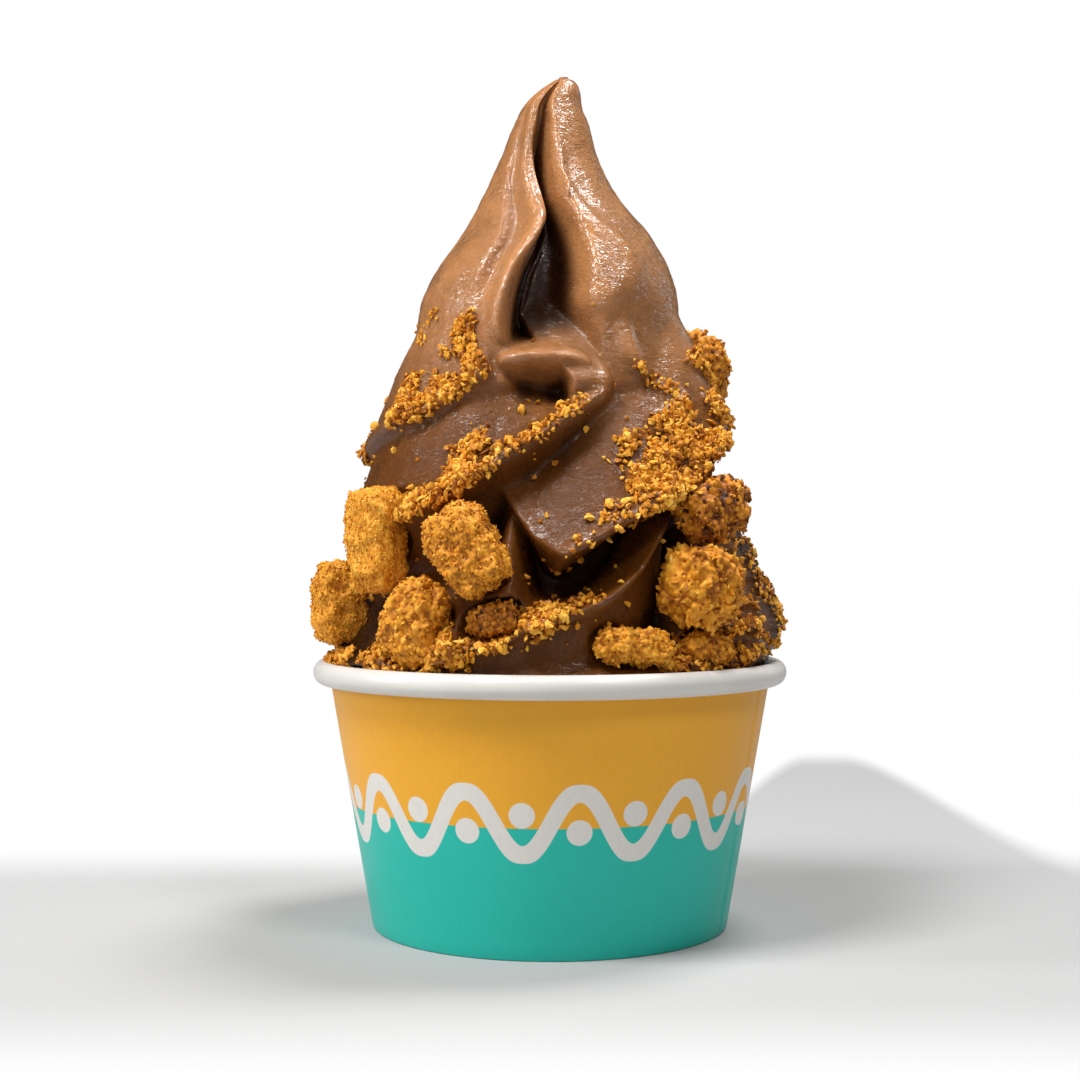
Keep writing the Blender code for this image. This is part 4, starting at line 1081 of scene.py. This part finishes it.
def coat_tree():
    """Geometry nodes that roughen a chunk and coat it with crumbs."""
    tree = bpy.data.node_groups.get("crumb_coat")
    if tree:
        return tree
    tree, start = new_group("GeometryNodeTree", "crumb_coat", (
        ("Surface", "Geometry", None), ("Grain", "Float", 0.0011), ("Depth", "Float", 0.0004),
        ("Pits", "Float", 2.0), ("Density", "Float", 1e6), ("Least Size", "Float", 0.0003),
        ("Greatest Size", "Float", 0.0006), ("Seed", "Int", 1), ("Finish", "Material", None)),
        "Chunk", "Geometry")
    fineness = math_node(tree, "DIVIDE", 1.0, start["Grain"])
    cells = put(tree, "ShaderNodeTexVoronoi", {"Scale": fineness, "Randomness": 1.0})
    coarse = math_node(tree, "MULTIPLY", fineness, 0.35)
    rough = put(tree, "ShaderNodeTexNoise", {"Scale": coarse, "Detail": 4.0})
    bumps = map_range(tree, cells.outputs["Distance"], 0.0, 0.8, 0.6, -0.8, smooth=False)
    pits = math_node(tree, "SUBTRACT", rough.outputs[0], 0.5)
    bumps = math_node(tree, "MULTIPLY_ADD", pits, start["Pits"], bumps)
    push = math_node(tree, "MULTIPLY", bumps, start["Depth"])
    normal = put(tree, "GeometryNodeInputNormal").outputs[0]
    offset = scaled(tree, normal, push)
    rugged = put(tree, "GeometryNodeSetPosition", {"Geometry": start["Surface"], "Offset": offset})
    # Painted shade: the chunk's pits are painted darker and its bumps lighter, through its shade attribute
    tint = map_range(tree, bumps, -1.3, 0.8, 0.0, 0.95, smooth=False)
    tinted = put(tree, "GeometryNodeStoreNamedAttribute", {
        "Geometry": rugged.outputs[0], "Name": "shade", "Value": tint}, data_type="FLOAT", domain="POINT")
    finished = put(tree, "GeometryNodeSetMaterial", {
        "Geometry": tinted.outputs[0], "Material": start["Finish"]})
    passed_on = {name: start[name] for name in ("Density", "Least Size", "Greatest Size", "Seed", "Finish")}
    crumbs = put(tree, "GeometryNodeGroup", {
        "Surface": finished.outputs[0], **passed_on, "Lift": 0.0002, "Flatness": (1.5, 0.9, 0.5)},
        node_tree=crumb_tree())
    joined = put(tree, "GeometryNodeJoinGeometry")
    tree.links.new(crumbs.outputs[0], joined.inputs[0])
    tree.links.new(finished.outputs[0], joined.inputs[0])
    put(tree, "NodeGroupOutput", {0: joined.outputs[0]})
    return tree


def grown(surface, tree, name, **inputs):
    """The plain mesh that a geometry tree makes of a surface, as a new object."""
    modifier = surface.modifiers.new("grow", "NODES")
    modifier.node_group = tree
    sockets = {item.name: item.identifier for item in tree.interface.items_tree if item.in_out == "INPUT"}
    for label, value in inputs.items():
        modifier[sockets[label.replace("_", " ").title()]] = value
    evaluated = surface.evaluated_get(bpy.context.evaluated_depsgraph_get())
    mesh = bpy.data.meshes.new_from_object(evaluated)
    surface.modifiers.remove(modifier)
    mesh.name = name
    return add_object(name, mesh)


def make_chunk(biscuit):
    """The bare form of a biscuit piece: a rounded block with relief, square or knobbly."""
    bm = bmesh.new()
    bmesh.ops.create_icosphere(bm, subdivisions=BISCUIT_DETAIL, radius=1)
    width, tall, deep = biscuit.size
    half = Vector((width, deep, tall)) / 2
    seed = Vector((biscuit.azimuth, biscuit.height, 0))
    power = biscuit.square
    for vertex in bm.verts:
        out = vertex.co.normalized()
        grow = sum(abs(part) ** power for part in out) ** (-1 / power)
        point = Vector((out.x * half.x, out.y * half.y, out.z * half.z)) * grow
        point.x *= 1 + biscuit.taper * point.z / half.z
        lump = LUMP_GAIN * noise.noise((point + seed) / BISCUIT_LUMP)
        push = BISCUIT_ROUGHNESS * max(-1.0, min(1.0, lump))
        vertex.co = (point + push * out) * MM
    place = biscuit_frame(biscuit)
    place.translation *= MM
    bm.transform(place)
    mesh = bpy.data.meshes.new("chunk")
    bm.to_mesh(mesh)
    bm.free()
    mesh.shade_smooth()
    store_values(mesh, "cover", np.ones(len(mesh.vertices)))
    store_values(mesh, "toast", np.full(len(mesh.vertices), biscuit.toast))
    return add_object("chunk", mesh)


def remove_object(thing):
    """Removes an object together with its mesh."""
    mesh = thing.data
    bpy.data.objects.remove(thing)
    bpy.data.meshes.remove(mesh)


def floor_material(look):
    """A pale floor that the camera sees fade into white away from the cup."""
    material, tree, shader, place = new_material("pale_floor")
    split = put(tree, "ShaderNodeSeparateXYZ", {0: place}).outputs
    # Painted shadow: a slanting band at the right where the floor stays grey instead of fading into white
    aside = math_node(tree, "MULTIPLY_ADD", split["Y"], -FLOOR_BAND_SLANT, split["X"])
    band = math_node(tree, "MULTIPLY", map_range(tree, aside, *FLOOR_BAND_START),
                     map_range(tree, aside, *FLOOR_BAND_END))
    back = math_node(tree, "MULTIPLY_ADD", band, -FLOOR_BAND_REACH, split["Y"])
    behind = map_range(tree, back, look.floor_back * FADE_BEHIND, look.floor_back)
    before = map_range(tree, split["Y"], -look.floor_front * FADE_BEFORE, -look.floor_front)
    beside = map_range(tree, math_node(tree, "ABSOLUTE", split["X"]), *FLOOR_SIDES)
    far = math_node(tree, "MAXIMUM", math_node(tree, "MAXIMUM", behind, before), beside)
    glow = math_node(tree, "MULTIPLY", far, put(tree, "ShaderNodeLightPath").outputs["Is Camera Ray"])
    colour = mix_colour(tree, glow, opaque(look.floor_colour), (0, 0, 0, 1))
    set_shader(tree, shader, base_color=colour, roughness=0.9, specular_ior_level=0.1)
    tree.links.new(mix_colour(tree, glow, (0, 0, 0, 1), (1, 1, 1, 1)), shader.inputs["Emission Color"])
    shader.inputs["Emission Strength"].default_value = 1.0
    return material


def add_area_light(lamp, power):
    """A rectangular light of so many watts from the table of lamps."""
    light = bpy.data.lights.new(lamp.name, "AREA")
    light.shape = "RECTANGLE"
    light.size, light.size_y = lamp.size
    light.energy = power
    thing = add_object(lamp.name, light)
    thing.location = lamp.place
    thing.rotation_euler = (Vector(LIGHT_AIM) - Vector(lamp.place)).to_track_quat("-Z", "Y").to_euler()


def add_world(look):
    """Surroundings that light the cup a little and look white to the camera."""
    world = bpy.data.worlds.new("studio")
    world.use_nodes = True
    bpy.context.scene.world = world
    tree = world.node_tree
    seen = put(tree, "ShaderNodeLightPath").outputs["Is Camera Ray"]
    strength = map_range(tree, seen, 0, 1, look.room_light, 1.0, smooth=False)
    background = tree.nodes["Background"]
    background.inputs["Color"].default_value = (1, 1, 1, 1)
    tree.links.new(strength, background.inputs["Strength"])


def colour_property(name, description, colour):
    """A property that holds a colour."""
    return bpy.props.FloatVectorProperty(
        name=name, description=description, subtype="COLOR", min=0, max=1, default=colour[:3])


class CupLook(bpy.types.PropertyGroup):
    """The cup's print and colours"""

    border: bpy.props.FloatProperty(
        name="Border", description="Height at which the two printed fields meet", default=24.2 * MM,
        unit="LENGTH", precision=4)
    wave_length: bpy.props.FloatProperty(
        name="Wave length", description="Length of one wave of the printed motif",
        default=math.tau * MAP_RADIUS * MM / PRINT_WAVES, unit="LENGTH", precision=4)
    upper_colour: colour_property("Upper field", "Colour of the upper field", linear(240, 172, 50))
    lower_colour: colour_property("Lower field", "Colour of the lower field", linear(42, 188, 172))
    motif_colour: colour_property("Motif", "Colour of the printed wave and dots", linear(226, 222, 216))
    rim_colour: colour_property("Rim", "Colour of the bare board", linear(222, 219, 213))


class YogurtLook(bpy.types.PropertyGroup):
    """The swirl's fineness, surface and colours"""

    columns: bpy.props.IntProperty(
        name="Columns", description="Points round the swirl", default=420, min=60, max=420)
    rows: bpy.props.IntProperty(
        name="Rows", description="Points up the swirl", default=236, min=60, max=236)
    wrinkles: bpy.props.FloatProperty(
        name="Wrinkles", description="Depth of the unevenness of the surface", default=1.0 * MM,
        unit="LENGTH", precision=4)
    relief: bpy.props.FloatProperty(
        name="Relief", description="Strength of the finest wrinkles", default=0.6, min=0, max=1)
    gloss: bpy.props.FloatProperty(
        name="Gloss", description="Weight of the wet film that carries the bright flecks", default=1.0,
        min=0, max=1)
    # Partly painted light: the peak's colour is paler and the folds' darker, as if lit from above
    peak_colour: colour_property("Peak", "Colour of the peak", linear(166, 113, 68))
    body_colour: colour_property("Body", "Colour of the folds", linear(98, 55, 15))
    # Painted shade: the near black colour painted deep between the folds
    hollow_shade_colour: colour_property("Hollow", "Colour deep between the folds", linear(52, 25, 6))
    dusted_colour: colour_property("Dusted", "Colour of the surface under the crumbs", linear(176, 112, 48))
    # Partly painted shade: the dark syrup colour also darkens low folds that lie in shade
    syrup_and_shade_colour: colour_property("SyrupAndShade", "Colour of the dark syrup", linear(34, 16, 6))


class CrumbLook(bpy.types.PropertyGroup):
    """The crumbs' size, number and colours"""

    grain: bpy.props.FloatProperty(
        name="Grain", description="Size of the grains of a usual biscuit's coat", default=1.0 * MM,
        unit="LENGTH", precision=5)
    coat_density: bpy.props.FloatProperty(
        name="Coat density", description="Crumbs on a square metre of biscuit", default=1.1e6)
    golden_colour: colour_property("Golden", "Usual colour of a crumb", linear(226, 150, 36))
    deep_colour: colour_property("Toasted", "Colour of the browner crumbs", linear(150, 82, 14))
    pale_colour: colour_property("Pale", "Colour of the paler crumbs", linear(248, 190, 70))


class StageLook(bpy.types.PropertyGroup):
    """The lights' powers and the floor"""

    key_power: bpy.props.FloatProperty(
        name="Key", description="Power of the main light in watts", default=7.6)
    strip_power: bpy.props.FloatProperty(
        name="Strips", description="Power of the strip lights at the sides in watts", default=2.8)
    fill_power: bpy.props.FloatProperty(
        name="Fill", description="Power of the lights in front in watts", default=2.7)
    room_light: bpy.props.FloatProperty(
        name="Room", description="Strength of the light from all round", default=0.06)
    floor_back: bpy.props.FloatProperty(
        name="Floor behind", description="Distance behind the cup at which the floor has faded into white",
        default=0.085, unit="LENGTH")
    floor_front: bpy.props.FloatProperty(
        name="Floor before", description="Distance before the cup at which the floor has faded into white",
        default=0.11, unit="LENGTH")
    floor_colour: colour_property("Floor", "Colour of the floor", (0.42, 0.42, 0.42))


def finish_piece(piece, slot, *nodes):
    """Tells the frame what a finished piece rides on and what it replaces; the slot, which names its finish,
    is not used.
    """
    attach(piece, "root")
    if nodes:
        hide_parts(*nodes)


class SERVING_OT_cup(bpy.types.Operator):
    """Build the printed paper cup"""
    bl_idname = "serving.cup"
    bl_label = "Paper cup"

    def execute(self, context):
        look = context.scene.serving_cup
        paper = paper_material(look)
        white = plain_paper_material(look)
        for piece in (make_sleeve(paper), make_rim(white), make_inside(white)):
            finish_piece(piece, "printed_paper", "cup")
        return {"FINISHED"}


class SERVING_OT_yogurt(bpy.types.Operator):
    """Build the swirl of frozen yogurt"""
    bl_idname = "serving.yogurt"
    bl_label = "Frozen yogurt"

    def execute(self, context):
        look = context.scene.serving_yogurt
        swirl = make_swirl(look, yogurt_material(look))
        finish_piece(swirl, "chocolate_yogurt", "frozen_yogurt")
        return {"FINISHED"}


class SERVING_OT_biscuits(bpy.types.Operator):
    """Build the crumb-coated biscuit pieces"""
    bl_idname = "serving.biscuits"
    bl_label = "Biscuit pieces"

    def execute(self, context):
        look = context.scene.serving_crumbs
        finish = crumb_material(look)
        for seed, biscuit in enumerate(BISCUITS):
            chunk = make_chunk(biscuit)
            grain = look.grain * biscuit.grain
            piece = grown(chunk, coat_tree(), "coated_" + biscuit.name, grain=grain,
                          depth=COAT_DEPTH * grain, pits=COAT_PITS * biscuit.grain,
                          density=look.coat_density / biscuit.grain**2, least_size=COAT_CRUMBS[0] * grain,
                          greatest_size=COAT_CRUMBS[1] * grain, seed=seed, finish=finish)
            remove_object(chunk)
            finish_piece(piece, "biscuit_crumb", biscuit.name)
        return {"FINISHED"}


class SERVING_OT_crumbs(bpy.types.Operator):
    """Strew crumbs over the swirl"""
    bl_idname = "serving.crumbs"
    bl_label = "Crumbs"

    def execute(self, context):
        swirl = bpy.data.objects["yogurt_swirl"]
        finish = bpy.data.materials["golden_crumb"]
        for kind in CRUMB_KINDS:
            piece = grown(swirl, crumb_tree(), kind.name, density=kind.density, least_size=kind.least * MM,
                          greatest_size=kind.greatest * MM, lift=kind.lift * MM, flatness=kind.flatness,
                          detail=kind.detail, seed=kind.seed, finish=finish)
            finish_piece(piece, "biscuit_crumb")
        return {"FINISHED"}


class SERVING_OT_stage(bpy.types.Operator):
    """Set the floor, the lights and the camera"""
    bl_idname = "serving.stage"
    bl_label = "Stage"

    def execute(self, context):
        scene = context.scene
        look = scene.serving_stage
        corners = [(-FLOOR_HALF, -FLOOR_HALF, 0), (FLOOR_HALF, -FLOOR_HALF, 0),
                   (FLOOR_HALF, FLOOR_HALF, 0), (-FLOOR_HALF, FLOOR_HALF, 0)]
        floor = mesh_object("floor", corners, [(0, 1, 2, 3)], floor_material(look))
        for lamp in LAMPS:
            add_area_light(lamp, getattr(look, lamp.power) * lamp.share)
        add_world(look)
        scene.view_settings.view_transform = "Standard"
        camera = add_object("photo_camera", bpy.data.cameras.new("photo_camera"))
        camera.data.sensor_width = CAMERA_SENSOR
        camera.data.lens = CAMERA_LENS
        camera.data.clip_start = CAMERA_NEAREST
        camera.location = Vector(CAMERA_PLACE) * MM
        camera.rotation_euler = (math.radians(90), 0, 0)
        scene.camera = camera
        return {"FINISHED"}


class SERVING_PT_panel(bpy.types.Panel):
    """The serving's sizes, colours and building steps"""
    bl_label = "Serving"
    bl_idname = "SERVING_PT_panel"
    bl_space_type = "VIEW_3D"
    bl_region_type = "UI"
    bl_category = "Serving"

    def draw(self, context):
        for step in STEPS:
            self.layout.operator(step.bl_idname)
        for group in GROUPS:
            for name in group[1].__annotations__:
                self.layout.prop(getattr(context.scene, group[0]), name)


STEPS = (SERVING_OT_stage, SERVING_OT_cup, SERVING_OT_yogurt, SERVING_OT_biscuits, SERVING_OT_crumbs)
GROUPS = (("serving_cup", CupLook), ("serving_yogurt", YogurtLook), ("serving_crumbs", CrumbLook),
          ("serving_stage", StageLook))


def register():
    """Registers the properties, the building steps and the panel."""
    for name, group in GROUPS:
        bpy.utils.register_class(group)
        setattr(bpy.types.Scene, name, bpy.props.PointerProperty(type=group))
    for kind in STEPS + (SERVING_PT_panel,):
        bpy.utils.register_class(kind)


def unregister():
    """Takes them back in the opposite order."""
    for kind in (SERVING_PT_panel,) + STEPS[::-1]:
        bpy.utils.unregister_class(kind)
    for name, group in GROUPS[::-1]:
        delattr(bpy.types.Scene, name)
        bpy.utils.unregister_class(group)


def main():
    """Builds the whole scene."""
    register()
    bpy.ops.serving.stage()
    bpy.ops.serving.cup()
    bpy.ops.serving.yogurt()
    bpy.ops.serving.biscuits()
    bpy.ops.serving.crumbs()


if __name__ == "__main__":
    main()
